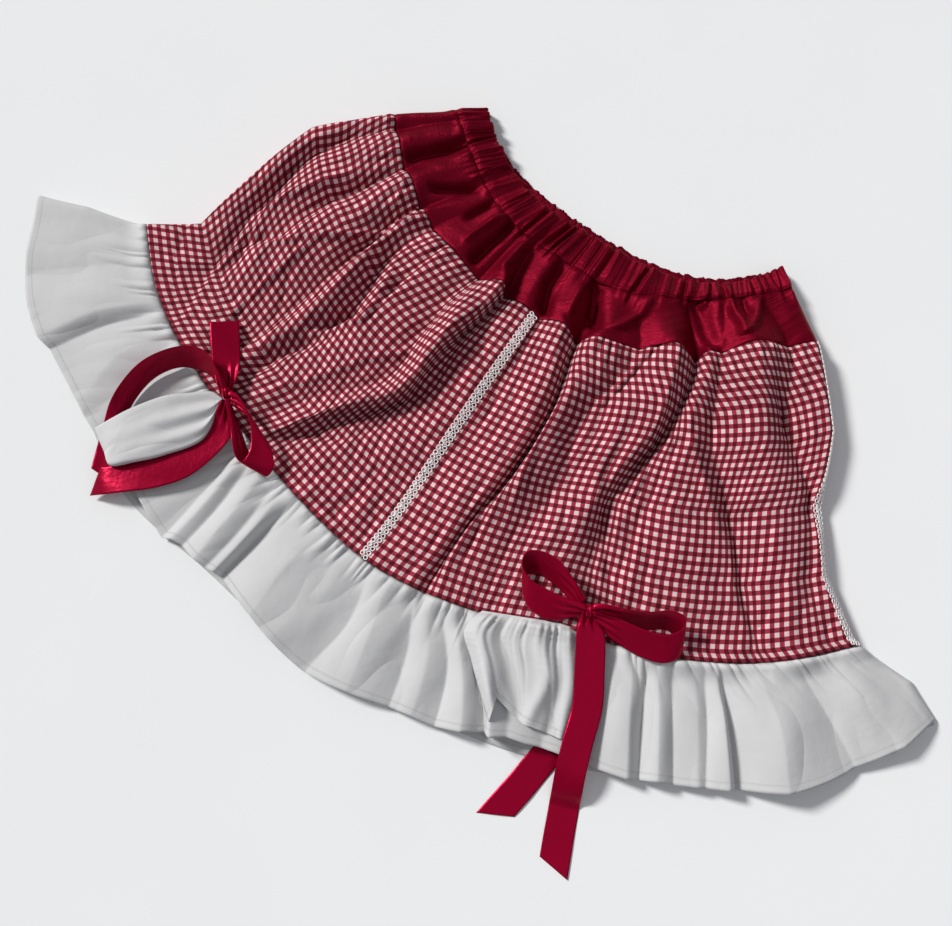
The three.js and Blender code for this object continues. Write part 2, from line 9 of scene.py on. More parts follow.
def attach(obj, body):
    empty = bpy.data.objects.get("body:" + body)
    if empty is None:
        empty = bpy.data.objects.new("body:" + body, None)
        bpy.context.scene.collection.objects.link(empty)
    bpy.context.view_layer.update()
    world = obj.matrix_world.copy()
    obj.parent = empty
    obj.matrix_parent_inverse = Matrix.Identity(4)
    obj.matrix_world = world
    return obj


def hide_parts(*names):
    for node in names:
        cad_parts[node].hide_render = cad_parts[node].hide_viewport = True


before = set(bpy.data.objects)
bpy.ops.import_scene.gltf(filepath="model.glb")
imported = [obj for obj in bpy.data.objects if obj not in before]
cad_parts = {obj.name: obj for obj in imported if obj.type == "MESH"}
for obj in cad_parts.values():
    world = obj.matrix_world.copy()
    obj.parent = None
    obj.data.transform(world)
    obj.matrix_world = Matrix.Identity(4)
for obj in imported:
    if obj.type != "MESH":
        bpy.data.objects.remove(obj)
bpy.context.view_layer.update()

# The view: the skirt is laid on a pale surface and seen from above, from a
# little below its hem, with the skirt turned round in the picture.

MM = 0.001
SEEN_FROM = (0.13421, -0.20759, 0.85968)
PICTURE_WIDTH, FOCAL_PIXELS = 952.0, 1000.0
scene = bpy.context.scene
view_tilt = math.radians(14.0)
view_turn = math.radians(31.0)

camera = bpy.data.objects.new("camera", bpy.data.cameras.new("camera"))
scene.collection.objects.link(camera)
camera.location = SEEN_FROM
camera.rotation_euler = Euler((view_tilt, 0.0, view_turn), "XYZ")
camera.data.sensor_width = 36.0
camera.data.lens = camera.data.sensor_width * FOCAL_PIXELS / PICTURE_WIDTH
camera.data.clip_start = 0.01
scene.camera = camera


def from_picture(right, up, height):
    """A place given as metres to the right and up in the picture, and above the table."""
    c, s = math.cos(view_turn), math.sin(view_turn)
    return Vector((right * c - up * s, right * s + up * c, height))


def lamp_at(name, kind, place, strength, wide, colour):
    """A soft light that faces the skirt; wide is an angle for a sun and metres for a panel."""
    light = bpy.data.lights.new(name, kind)
    light.energy = strength
    light.color = colour
    if kind == "SUN":
        light.angle = wide
    else:
        light.shape = "DISK"
        light.size = wide
    lamp = bpy.data.objects.new(name, light)
    scene.collection.objects.link(lamp)
    lamp.location = place
    lamp.rotation_euler = (-place).to_track_quat("-Z", "Y").to_euler()


lamp_at("window", "SUN", from_picture(-1.05, 0.68, 0.92), 3.3, math.radians(12.0), (1.0, 0.99, 0.97))
lamp_at("room", "AREA", from_picture(0.5, -0.6, 1.9), 2.5, 1.8, (0.97, 0.98, 1.0))

world = bpy.data.worlds.new("room")
scene.world = world
world.use_nodes = True
world.node_tree.nodes["Background"].inputs["Color"].default_value = (0.93, 0.95, 1.0, 1.0)
world.node_tree.nodes["Background"].inputs["Strength"].default_value = 0.28
scene.view_settings.view_transform = "Standard"

# The table: a plain pale matt surface, larger than the view.


class Wire:
    """One output socket of a material, with arithmetic for numbers."""

    def __init__(self, shader, socket):
        self.shader = shader
        self.socket = socket

    def maths(self, operation, *others):
        values = dict(enumerate([self, *others]))
        return self.shader.node("ShaderNodeMath", {"operation": operation}, values)

    def __add__(self, other):
        return self.maths("ADD", other)

    __radd__ = __add__

    def __mul__(self, other):
        return self.maths("MULTIPLY", other)

    __rmul__ = __mul__

    def __sub__(self, other):
        return self.maths("SUBTRACT", other)

    def __rsub__(self, other):
        return self.shader.node("ShaderNodeMath", {"operation": "SUBTRACT"}, {0: other, 1: self})

    def sine(self):
        return self.maths("SINE")

    def clamp(self):
        return self.shader.node("ShaderNodeClamp", {}, {"Value": self})

    def folded(self):
        """How far a noise is from its middle: sharp creases where it passes through it."""
        return (self - 0.5).maths("ABSOLUTE")


class Shader:
    """A material that is built up node by node."""

    def __init__(self, name, roughness, **plain):
        self.material = bpy.data.materials.new(name)
        self.material.use_nodes = True
        self.tree = self.material.node_tree
        self.surface = self.tree.nodes["Principled BSDF"]
        self.surface.inputs["Roughness"].default_value = roughness
        for socket, value in plain.items():
            self.surface.inputs[socket.replace("_", " ")].default_value = value

    def node(self, kind, settings, values, output=0):
        made = self.tree.nodes.new(kind)
        for key, value in settings.items():
            setattr(made, key, value)
        for key, value in values.items():
            if isinstance(value, Wire):
                self.tree.links.new(value.socket, made.inputs[key])
            else:
                made.inputs[key].default_value = value
        return Wire(self, made.outputs[output])

    def feed(self, socket, wire):
        self.tree.links.new(wire.socket, self.surface.inputs[socket])

    def mix(self, amount, one, other):
        """A colour between two colours, which go to the sockets 6 and 7 of the node."""
        values = {"Factor": amount, 6: one, 7: other}
        return self.node("ShaderNodeMix", {"data_type": "RGBA"}, values, 2)

    def noise(self, place, scale, detail=3.0):
        values = {"Vector": place, "Scale": scale, "Detail": detail}
        return self.node("ShaderNodeTexNoise", {}, values)

    def scaled(self, place, factors):
        """The place multiplied along each of its axes."""
        return self.node("ShaderNodeVectorMath", {"operation": "MULTIPLY"}, {0: place, 1: factors})

    def bump(self, height, depth):
        """Feeds a relief to the surface; depth is in metres for a height of 1."""
        self.feed("Normal", self.node("ShaderNodeBump", {}, {"Height": height, "Distance": depth}))


table_shader = Shader("pale_table", 0.9)
table_place = table_shader.node("ShaderNodeTexCoord", {}, {}, "Object")
table_mottle = table_shader.noise(table_place, 6.0)
pale, paler = (0.86, 0.87, 0.88, 1.0), (0.9, 0.905, 0.91, 1.0)
table_shader.feed("Base Color", table_shader.mix(table_mottle, pale, paler))


def finished(bm, name, material):
    """Turns a bmesh into an object at the origin, smooth, with its material."""
    mesh = bpy.data.meshes.new(name)
    bm.to_mesh(mesh)
    bm.free()
    for polygon in mesh.polygons:
        polygon.use_smooth = True
    mesh.materials.append(material)
    made = bpy.data.objects.new(name, mesh)
    scene.collection.objects.link(made)
    return made


bm = bmesh.new()
bmesh.ops.create_grid(bm, x_segments=1, y_segments=1, size=4.0)
table = finished(bm, "table", table_shader.material)

# The front of the body: a straight width of red and white cotton gingham with
# 4 mm checks, gathered on to the yoke and laid in long soft folds. The lines of
# the skirt run round one centre beyond the waist; all its pieces are laid on them.

CENTRE = np.array([8.28, 410.089])  # mm, from the skirt's middle
CASING, YOKE, BODY, RUFFLE = 32.0, 58.0, 262.0, 100.0
LINE_RADIUS = np.cumsum([198.0, CASING, YOKE, BODY, RUFFLE])
TOP, GATHER, SEAM, HEM, EDGE = range(5)

# How far each line strays from its arc, at even stations from left to right:
# casing top, gather line, yoke seam, hem seam, ruffle edge
STRAYS = np.array([
    (2, 1, 5, -12, -16),
    (2, -1, 9, -2, 8),
    (1, 1, 12, -2, 4),
    (0, 3, 12, -4, 2),
    (-3, 2, 6, 2, 0),
    (-4, 2, 6, 9, 10),
    (1, 5, 9, 4, 2),
    (9, 2, 3, -7, -8),
    (14, 1, 2, 2, 4),
    (14, 1, 1, 5, 2),
    (10, 3, 4, 1, -26),
], dtype=float)

# The two side folds: radius, degrees to the left, degrees to the right
SIDES = np.array([
    (190, 50.7, 51.6),
    (290, 51.6, 51.1),
    (370, 50.8, 47.8),
    (430, 45.6, 42.9),
    (490, 41.0, 41.6),
    (545, 42.9, 42.4),
    (590, 46.0, 46.2),
    (650, 48.9, 47.6),
], dtype=float)

# The lines of the long folds from left to right, ridges and valleys by turns. Each has its angles
# and its heights in mm at the gather line, the yoke seam, three stations down the gingham and the
# hem seam, and how far it is pushed to the right over its neighbour, in mm
FOLDS = [
    ((-56, -56, -56, -52, -48, -50), (3, 3, 3, 3, 3, 3), 0),
    ((-49, -49.5, -49, -44.5, -39.8, -41.5), (6.5, 11.5, 15.5, 14.1, 11.5, 9), 0),
    ((-47.5, -47.5, -47, -42.5, -36.2, -31.5), (3.2, 6.4, 4.8, 1.6, 1.2, 3.2), 0),
    ((-44, -44, -42.5, -39.5, -35.2, -30.4), (7.7, 18, 16.7, 12.9, 9, 6.5), 0),
    ((-40.5, -39, -38.6, -37.3, -34.5, -29.6), (4, 9, 8, 9, 6, 4.4), 0),
    ((-34.5, -36.5, -35, -35.2, -33.6, -28.4), (7.7, 19.3, 21.8, 18, 11.5, 7.7), 4.5),
    ((-29.5, -30.6, -29.2, -27.4, -25.9, -26.2), (3.2, 6.4, 2, 1.2, 2, 3.2), 0),
    ((-27.5, -28.6, -27.0, -24.6, -24.6, -24.2), (4.5, 15.7, 21.3, 19, 12.3, 7.8), -4.5),
    ((-25, -26.2, -25.4, -22.3, -22.7, -22.3), (4, 9, 5, 3, 4, 4.5), 0),
    ((-19.5, -20.5, -20, -18.6, -20.5, -19.8), (7.3, 15.7, 17.9, 15.7, 10.1, 7.8), 0),
    ((-14.4, -13.6, -13.6, -12.6, -17.0, -18.6), (1.6, 3.2, 4, 3.2, 2.4, 4), 0),
    ((-12.4, -10.6, -11.4, -10.8, -15.6, -17.8), (4.5, 22.4, 26.9, 24.6, 15.7, 7.8), 7.5),
    ((-10.6, -8.2, -9.6, -9.4, -14.4, -16.9), (1.2, 2, 1.2, 1.2, 1.6, 3.2), 0),
    ((-4.8, -4.5, -4.0, -4.2, -8.5, -9.0), (7, 12, 12, 11, 9, 7), 0),
    ((-0.5, -0.5, 0.2, 0.0, -2.5, -3.5), (4, 6, 6, 6, 6, 5), 0),
    ((2.5, 3.0, 5.2, 4.9, 3.2, 2.4), (6.5, 18, 18, 16.7, 14.1, 10.3), 4.5),
    ((7.4, 7.2, 8.0, 6.7, 4.6, 3.9), (1.2, 0.8, 0.8, 0.8, 1.2, 2.4), 0),
    ((12, 11.6, 9.8, 8.5, 6.0, 5.1), (6.5, 21.8, 23.2, 21.8, 15.5, 10.3), -6),
    ((15, 18.0, 12.2, 12.0, 9.4, 8.8), (5, 13, 7, 6, 5, 4), 0),
    ((22, 23.4, 22, 16.6, 14.4, 14), (8, 27.6, 24.1, 18.4, 13.8, 9.2), 3),
    ((26.8, 28.4, 24.4, 18.6, 17.8, 20.2), (1.6, 1.2, 1.2, 1.6, 2.4, 3.2), 0),
    ((30.5, 30.8, 27.6, 26.6, 25.8, 25.4), (7.7, 19.3, 21.8, 20.6, 15.5, 10.3), -3),
    ((34.5, 32.6, 30.4, 32, 33.2, 34.3), (6, 15, 7, 4, 4, 4.5), 0),
    ((39, 38.4, 37, 36.4, 36.7, 37.2), (8, 28.7, 24.1, 20.7, 16.1, 11.5), 0),
    ((43.5, 44.8, 41.0, 42.0, 39.6, 40.2), (6, 12, 3, 4, 5, 6), 0),
    ((47.5, 47.8, 46.6, 43.6, 41.0, 41.8), (6.9, 13.8, 13.8, 10.3, 9.2, 8), 0),
    ((56, 56, 54, 50, 48, 49), (3, 3, 3, 3, 3, 3), 0),
]

# Sharper creases within the folds: (angle, radius) from top to bottom, width and height in mm
CREASES = [
    ([(-14.0, 318), (-12.6, 384), (-15.7, 419), (-19.7, 496)], 4, 2.9),
    ([(-45.0, 480), (-38.0, 520), (-33.0, 540)], 4, -3.4),
    ([(-31.0, 470), (-28.0, 510), (-26.5, 540)], 3, -2.9),
    ([(-22.0, 300), (-21.5, 350), (-19.5, 400)], 3.5, -3.8),
    ([(-33.5, 400), (-31.5, 450), (-29.5, 500)], 3, 3.4),
    ([(-6.0, 480), (-7.0, 545)], 3.5, -2.9),
    ([(10.5, 490), (10.0, 548)], 3.5, -3.4),
    ([(15.6, 300), (14.6, 360), (13.0, 420)], 3, -3),
    ([(22.5, 500), (21.8, 548)], 4, -3.4),
    ([(28.6, 505), (29.4, 548)], 3, -3),
    ([(34.0, 300), (33.6, 350), (34.6, 410)], 3, 2.6),
    ([(-46.9, 378), (-40.6, 429), (-34.8, 473)], 5, -5.6),
    ([(-38.9, 319), (-38.2, 370), (-36.0, 428), (-36.8, 464)], 4.5, -5.6),
    ([(-27.1, 301), (-34.0, 396), (-35.6, 441)], 3, 3.8),
    ([(-28.8, 349), (-27.5, 372), (-25.7, 410), (-25.0, 483)], 4.5, -4.7),
    ([(-21.2, 354), (-21.4, 393), (-22.8, 437), (-23.4, 487)], 4, -4.7),
    ([(-9.9, 399), (-14.0, 473)], 4.5, -4.7),
    ([(-21.2, 440), (-22.9, 481), (-22.9, 519)], 4, -4.7),
    ([(-37.9, 299), (-34.0, 318), (-29.8, 324)], 2.5, 3.8),
    ([(-36.7, 287), (-31.8, 295), (-28.6, 313)], 2.5, 3.8),
    ([(18.0, 371), (16.6, 411), (18.8, 461), (20.1, 503)], 5, -7.6),
    ([(31.4, 398), (32.6, 454), (32.9, 502), (33.9, 540)], 4, -6.8),
    ([(40.9, 330), (41.6, 357), (42.5, 413), (41.2, 433)], 4, -7.6),
    ([(28.5, 318), (27.3, 362), (29.3, 405), (30.6, 440)], 4, 5.1),
    ([(20.7, 292), (18.5, 310), (14.4, 350)], 3, -6),
    ([(24.6, 319), (22.5, 377), (18.8, 400)], 4, -6.8),
    ([(8.4, 352), (7.3, 405), (6.5, 457), (6.3, 515)], 4, -6),
    ([(8.9, 322), (8.5, 391), (8.5, 450)], 3.5, 4.2),
    ([(-41.1, 351), (-40.5, 405), (-39.3, 447)], 4, 4.2),
    ([(-14.0, 324), (-12.7, 364), (-10.6, 399)], 3, 5.1),
    ([(-12.5, 529), (-8.0, 535), (-4.9, 551)], 5, -5.1),
    ([(-8.0, 441), (-11.4, 490), (-15.7, 514)], 5, -4.2),
    ([(-13.1, 315), (-12.7, 336), (-11.0, 368), (-9.8, 400), (-13.5, 459), (-16.6, 518)], 4.5, 6.5),
    ([(-11.2, 310), (-10.5, 332), (-8.8, 366), (-7.5, 400), (-12.2, 467), (-15.2, 523)], 5, -5),
    ([(-26.8, 348), (-23.9, 374), (-22.2, 403), (-22.3, 427)], 5, -6.5),
    ([(-24.8, 342), (-22.2, 367), (-20.1, 400), (-23.2, 455), (-23.7, 463)], 4.5, 5.5),
    ([(28.5, 324), (27.5, 363), (24.7, 385), (22.0, 439), (20.9, 489)], 5, -5),
    ([(26.9, 335), (25.8, 362), (22.9, 380), (20.2, 432), (19.0, 479)], 4.5, 4),
]

# How full the skirt is at each line, and how far in from a side fold its roll reaches, in mm
FULLNESS = np.array([3.5, 4.0, 4.5, 4.0, 2.0])
SIDE_ROLL = 9.0

# A fold draws the seam line in by this share of its height, within this much of a line
SEAM_PULL, SEAM_REACH = 0.34, 0.45

# Where the middle of the front lies, from -1 to 1, and how it drifts from line to line
FRONT_MIDDLE, MIDDLE_DRIFT = -0.032, -0.022

# What lies under the front's cloth: the walls of back and front and the gaps between, in mm
UNDER_CASING = 3.0 + 0.3 + 1.5 + 0.15
UNDER_BODY = 1.2 + 0.3 + 0.6 + 0.15


def smooth(t):
    """An even climb from 0 to 1."""
    t = np.clip(t, 0.0, 1.0)
    return t * t * (3.0 - 2.0 * t)


def through(values, place):
    """A smooth curve through evenly spaced values."""
    values = np.asarray(values, dtype=float)
    last = len(values) - 1
    t = np.clip(place, 0.0, last)
    i = np.minimum(np.floor(t).astype(int), last - 1)
    before, a = values[np.maximum(i - 1, 0)], values[i]
    b, after = values[i + 1], values[np.minimum(i + 2, last)]
    f = t - i
    bend = 3.0 * (a - b) + after - before
    return a + 0.5 * f * (b - before + f * (2.0 * before - 5.0 * a + 4.0 * b - after + f * bend))


def side_angle(sweep, radius):
    """Degrees from the middle of the fan to the side fold on that side."""
    left = np.interp(radius, SIDES[:, 0], SIDES[:, 1])
    right = np.interp(radius, SIDES[:, 0], SIDES[:, 2])
    return np.where(sweep < 0.0, left, right)


def radius_at(sweep, line, strays):
    """Mm from the fan's centre, for a sweep from -1 to 1 and a place from one line to the next."""
    k = np.clip(np.floor(line).astype(int), TOP, HEM)
    place = (sweep + 1.0) / 2.0 * (len(strays) - 1)
    lines = np.stack([LINE_RADIUS[n] + through(strays[:, n], place) for n in range(5)])
    flat, shape = k.ravel(), np.shape(sweep)
    pick = np.arange(flat.size)
    lines = lines.reshape(5, -1)
    inner, outer = lines[flat, pick].reshape(shape), lines[flat + 1, pick].reshape(shape)
    return inner + (outer - inner) * (line - k)


def angle_at(sweep, line, radius):
    drift = MIDDLE_DRIFT * (line - SEAM) * (1.0 - sweep * sweep)
    return (sweep + drift) * side_angle(sweep, radius)


def drawn_up(seed, count, heights, runs, spread=0.5):
    """The small gathers along a seam: where the tucks between them lie, from -1 to 1, how high
    each gather is, and how far it runs out from the seam, in mm."""
    uneven = np.random.default_rng(seed)
    steps = uneven.uniform(1 - spread, 1 + spread, count)
    tucks = -1 + 2 * np.cumsum(np.concatenate([[0.0], steps])) / steps.sum()
    return tucks, uneven.uniform(*heights, count), uneven.uniform(*runs, count)


def gathers(table, sweep, down, sharp=0.7):
    """The height of the gathers at a distance down from their seam; 0 in the tucks."""
    tucks, heights, runs = table
    slant = 0.00022 * np.sin(sweep * 13.0 + 1.0) + 0.00018 * np.sin(sweep * 37.0)
    place = np.clip(sweep + slant * down, -1, 1)
    k = np.clip(np.searchsorted(tucks, place) - 1, 0, len(heights) - 1)
    part = (place - tucks[k]) / (tucks[k + 1] - tucks[k])
    return heights[k] * np.sin(np.pi * np.clip(part, 0, 1)) ** sharp * (1 - smooth(down / runs[k]))


def crimps(table, sweep, up, sharp):
    """The height of narrow gathers with sharp crests, which run askew up their band, from 0 at
    its foot to 1 at its top."""
    tucks, heights, runs = table
    lean = 0.9 * (runs - runs.mean()) / np.ptp(runs) * np.ptp(tucks) / len(heights)
    askew = np.interp(sweep, (tucks[1:] + tucks[:-1]) / 2, lean)
    place = np.clip(sweep - askew * (up - 0.3), -1, 1)
    k = np.clip(np.searchsorted(tucks, place) - 1, 0, len(heights) - 1)
    part = np.clip((place - tucks[k]) / (tucks[k + 1] - tucks[k]), 0, 1)
    crest = 0.5 + 0.3 * np.sin(k * 2.4)
    side = np.where(part < crest, part / crest, (1 - part) / (1 - crest))
    return heights[k] * side ** sharp


def pleated(lines, place, angle, crisp=0.25):
    """Height and push of the cloth between its ridges, which are round, and its valleys, which
    are sharp. A crisp cloth lies flatter between the two."""
    high, over = np.full_like(angle, 3.0), np.zeros_like(angle)
    at = [through(row[0], place) for row in lines]
    up = [through(row[1], place) for row in lines]
    for k in range(len(lines) - 1):
        between = (angle >= at[k]) & (angle < at[k + 1])
        part = np.clip((angle - at[k]) / np.maximum(at[k + 1] - at[k], 0.05), 0, 1)
        climbing = up[k + 1] > up[k]
        round_part = np.where(climbing, np.sin(part * np.pi / 2), 1 - np.cos(part * np.pi / 2))
        part = (1 - crisp) * round_part + crisp * part
        high = np.where(between, up[k] + (up[k + 1] - up[k]) * part, high)
        over = np.where(between, lines[k][2] + (lines[k + 1][2] - lines[k][2]) * part, over)
    return high, over


def fold_rise(line, angle):
    """How high the long folds stand, and how far they are pushed over, both in mm."""
    place = np.clip(line - GATHER, 0, 1) + 4 * np.clip(line - SEAM, 0, 1)
    high, over = pleated(FOLDS, place, angle)
    over = over * smooth(np.clip(line - 1.6, 0, 1) * 2) * (1 - smooth((line - 2.85) / 0.15))
    fade = 1 - 0.75 * smooth(np.clip(GATHER - line, 0, 1))
    return high * fade, over


def crease_rise(angle, radius, creases, run_out=1.0):
    """The sharper creases, each a soft trough or ridge along its own line."""
    rise = np.zeros_like(angle)
    for path, wide, deep in creases:
        angles, radii = np.array([p[0] for p in path]), np.array([p[1] for p in path])
        off = np.radians(angle - np.interp(radius, radii, angles)) * radius
        ends = smooth((radius - radii[0]) / run_out / 50 + 0.5)
        ends = ends * smooth((radii[-1] - radius) / run_out / 40 + 0.5)
        rise += deep * np.exp(-(off / wide) ** 2) * ends
    return rise


def laid_front(sweep, line, own_rise, past=None, folds=None):
    """Places on the front's cloth, in mm from the skirt's middle. own_rise gives the piece's
    own gathers and waves as a height over its folds."""
    sweep, line = np.broadcast_arrays(np.asarray(sweep, float), np.asarray(line, float))
    radius = radius_at(sweep, line, STRAYS)
    angle = angle_at(sweep, line, radius)
    high, over = (folds or fold_rise)(line, angle)
    inset = (1 - np.abs(sweep)) * np.radians(side_angle(sweep, radius)) * radius
    from_side = np.clip(inset / SIDE_ROLL, 0, 1)
    roll = np.sqrt(1 - (1 - from_side) ** 2)
    at_seam = smooth(1 - np.abs(line - SEAM) / SEAM_REACH)
    pulled = radius - SEAM_PULL * np.maximum(high - 3, 0) * roll * at_seam
    if past is not None:
        pulled = pulled + past(angle, line)
    turned = np.radians(angle) + over * roll / radius
    rest = UNDER_CASING + (UNDER_BODY - UNDER_CASING) * smooth(line - 0.8)
    height = through(FULLNESS, line) + high + own_rise(sweep, line, angle, radius)
    # The lowest cloth still lies over the back
    lift = (rest + np.maximum(height, 0.4)) * roll
    return np.stack([
        CENTRE[0] + pulled * np.sin(turned),
        CENTRE[1] - pulled * np.cos(turned),
        np.maximum(lift, 0.3),
    ], axis=-1)


def even_along(place_of, count):
    """Places across the front, from -1 to 1, that lie evenly along the cloth's own length."""
    tries = np.linspace(-1, 1, 3001)
    points = place_of(tries)
    steps = np.linalg.norm(np.diff(points, axis=-2), axis=-1)
    run = np.concatenate([[0.0], np.cumsum(steps.mean(axis=0))])
    return np.interp(np.linspace(0, run[-1], count), run, tries)


def sheet_of(name, points, cloth, material, thick):
    """A sheet of cloth from a grid of places in mm, with its cloth coordinates as UV in metres."""
    rows, columns = points.shape[:2]
    bm = bmesh.new()
    bmesh.ops.create_grid(bm, x_segments=columns - 1, y_segments=rows - 1, size=1.0)
    layer = bm.loops.layers.uv.new("cloth")
    where = {}
    for vertex in bm.verts:
        i = round((vertex.co.x + 1) / 2 * (columns - 1))
        j = round((1 - vertex.co.y) / 2 * (rows - 1))
        where[vertex.index] = (j, i)
    for vertex in bm.verts:
        vertex.co = Vector(points[where[vertex.index]] * MM)
    for face in bm.faces:
        for loop in face.loops:
            loop[layer].uv = cloth[where[loop.vert.index]]
    made = finished(bm, name, material)
    wall = made.modifiers.new("wall", "SOLIDIFY")
    wall.thickness = thick
    wall.offset = 0.0
    return made


def lengths_along(points, axis):
    """The run of the cloth along one way of its grid, in mm, from its first place."""
    steps = np.linalg.norm(np.diff(points, axis=axis), axis=-1)
    run = np.cumsum(steps, axis=axis)
    start = np.zeros_like(np.take(run, [0], axis=axis))
    return np.concatenate([start, run], axis=axis)


def evened(values, width):
    """Each row of a grid, averaged along itself over a bell of an odd number of places."""
    bell = np.hanning(width) / np.hanning(width).sum()
    half = width // 2
    return np.stack([np.convolve(np.pad(row, half, "edge"), bell, "valid") for row in values])


def sew_on(piece, node):
    """The skirt is one body, and each piece stands for one of its solids."""
    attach(piece, "root")
    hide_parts(node)


UNDER_YOKE = drawn_up(3, 44, (1.6, 4.2), (22, 95))
UNDER_YOKE_FINE = drawn_up(5, 96, (0.4, 1.5), (10, 40))
OVER_HEM = drawn_up(8, 70, (0.3, 1.3), (8, 34))


def body_rise(sweep, line, angle, radius):
    down = (line - SEAM) * BODY
    up = (HEM - line) * BODY
    drawn = gathers(UNDER_YOKE, sweep, down) + gathers(UNDER_YOKE_FINE, sweep, down)
    puckers = gathers(OVER_HEM, sweep, up)
    waver = 0.5 * np.sin(angle * 0.55 + radius * 0.021) * np.sin(radius * 0.03 + angle * 0.25)
    ease = smooth(down / 6 + 0.2) * smooth(up / 5 + 0.2)
    return (drawn + puckers) * ease + crease_rise(angle, radius, CREASES) + waver


def body_cloth(points, sweep, line):
    """Cloth coordinates of the gingham: true along the crests, with the fullness that the
    gathers take up at the yoke hidden in the valleys between the folds."""
    across = np.linalg.norm(np.diff(points, axis=1), axis=-1)
    middle = np.argmin(np.abs(sweep - FRONT_MIDDLE))
    full = across.sum(axis=1).max() * 1.02
    radius = radius_at(*np.broadcast_arrays(sweep[None, :], line[:, None]), STRAYS)
    angle = angle_at(sweep[None, :], line[:, None], radius)
    high, _ = fold_rise(np.broadcast_to(line[:, None], angle.shape), angle)
    low = np.clip(1 - (high[:, 1:] + high[:, :-1]) / 2 / 10.0, 0, 1) ** 2 + 0.02
    spare = np.maximum(full - across.sum(axis=1), 0)
    weight = (low * across).sum(axis=1)
    taken = across + low * across * (spare / weight)[:, None]
    run = np.concatenate([np.zeros((len(line), 1)), np.cumsum(taken, axis=1)], axis=1)
    u = run - run[:, middle][:, None]
    # The columns of checks run smoothly down the folds
    u = evened(u.T, 37).T
    # The gathers leave the rows of checks as they are
    v = evened(lengths_along(points, 0), 161)
    v = v.mean(axis=1, keepdims=True) + 0.6 * (v - v.mean(axis=1, keepdims=True))
    v = v[-1] - v
    # They run straight over the folds as seen from the view, as the real cloth's do, and not as
    # seen from right above
    eye = np.array(SEEN_FROM) / MM
    shift = (eye[2] - 8.0) / (eye[2] - points[..., 2:])
    seen = eye[:2] + (points[..., :2] - eye[:2]) * shift
    reach = np.linalg.norm(points[..., :2] - CENTRE, axis=-1) - np.linalg.norm(seen - CENTRE, axis=-1)
    v = v + 0.9 * (reach - evened(reach, 161))
    return np.stack([u, v], axis=-1) * MM


gingham_shader = Shader("gingham", 0.85, Specular_IOR_Level=0.2)
cloth_place = gingham_shader.node("ShaderNodeUVMap", {"uv_map": "cloth"}, {})
along_u = gingham_shader.node("ShaderNodeSeparateXYZ", {}, {0: cloth_place}, 0)
along_v = gingham_shader.node("ShaderNodeSeparateXYZ", {}, {0: cloth_place}, 1)
CHECK = 0.004
CHECK_SHARPNESS = 5.0
warp_red = ((along_u * (math.pi / CHECK)).sine() * CHECK_SHARPNESS + 0.5).clamp()
weft_red = ((along_v * (math.pi / CHECK)).sine() * CHECK_SHARPNESS + 0.5).clamp()
both = warp_red * weft_red
either = (warp_red + weft_red - both).clamp()
THREAD = 0.00034
thread_u = (along_u * (2 * math.pi / THREAD)).sine()
thread_v = (along_v * (2 * math.pi / THREAD)).sine()
thread = thread_u * thread_v
wear = gingham_shader.noise(cloth_place, 30.0)
RED = (0.120, 0.001, 0.009, 1.0)
HALF = (0.440, 0.036, 0.068, 1.0)
WHITE = (1.0, 0.760, 0.780, 1.0)
tone = gingham_shader.mix(either, WHITE, HALF)
tone = gingham_shader.mix(both, tone, RED)
WORN = (0.60, 0.20, 0.26, 1.0)
tone = gingham_shader.mix(wear * 0.06, tone, WORN)
gingham_shader.feed("Base Color", tone)
# Small creases, which run down the cloth more than across it
crumpled = gingham_shader.noise(gingham_shader.scaled(cloth_place, (1.0, 0.55, 1.0)), 30.0, 1.0)
nubs = gingham_shader.noise(cloth_place, 260.0)
gingham_shader.bump(thread * 0.5 + nubs * 2.2 + crumpled.folded() * 170.0, 0.00022)

# Rows lie closer under the yoke seam, where the gathers are
COTTON_THICK = 0.0005
SEAM_GAP = 0.0006
upper = np.linspace(SEAM + SEAM_GAP, SEAM + 0.2, 26)
rows = np.concatenate([upper[:-1], np.linspace(SEAM + 0.2, HEM - SEAM_GAP, 66)])
across = even_along(lambda s: laid_front(s[None, :], rows[::9][:, None], body_rise), 420)
points = laid_front(across[None, :], rows[:, None], body_rise)
cloth = body_cloth(points, across, rows)
body_front = sheet_of("gingham_front_cloth", points, cloth, gingham_shader.material, COTTON_THICK)
sew_on(body_front, "gingham_front")

# The back of the body: the same gingham, lying flat under the front with its
# gathers pressed out at the yoke and the hem.

BACK_STRAYS = np.array([
    (2, 1, 4, -10, -12),
    (0, 0, 4, -2, 2),
    (-6, 0, 5, -2, -2),
    (-11, 0, 5, 0, 11),
    (-14, 0, 4, 0, 0),
    (-13, 0, 3, 4, 4),
    (-8, 0, 3, 2, 0),
    (-1, 0, 2, 0, 2),
    (5, 0, 2, 0, 0),
    (7, 0, 2, 2, -2),
    (8, 1, 4, 0, -22),
], dtype=float)
BACK_INSET = 3.2  # mm in from the front's side folds


def laid_back(sweep, line, height, past=0.0):
    """Places on the back's cloth, which lies on the surface under the front."""
    sweep, line = np.broadcast_arrays(np.asarray(sweep, float), np.asarray(line, float))
    radius = radius_at(sweep, line, BACK_STRAYS)
    angle = np.radians(angle_at(sweep, line, radius)) - sweep * BACK_INSET / radius
    reach = radius + past
    flat = np.stack([CENTRE[0] + reach * np.sin(angle), CENTRE[1] - reach * np.cos(angle)], axis=-1)
    return np.concatenate([flat, np.broadcast_to(height, sweep.shape)[..., None]], axis=-1)


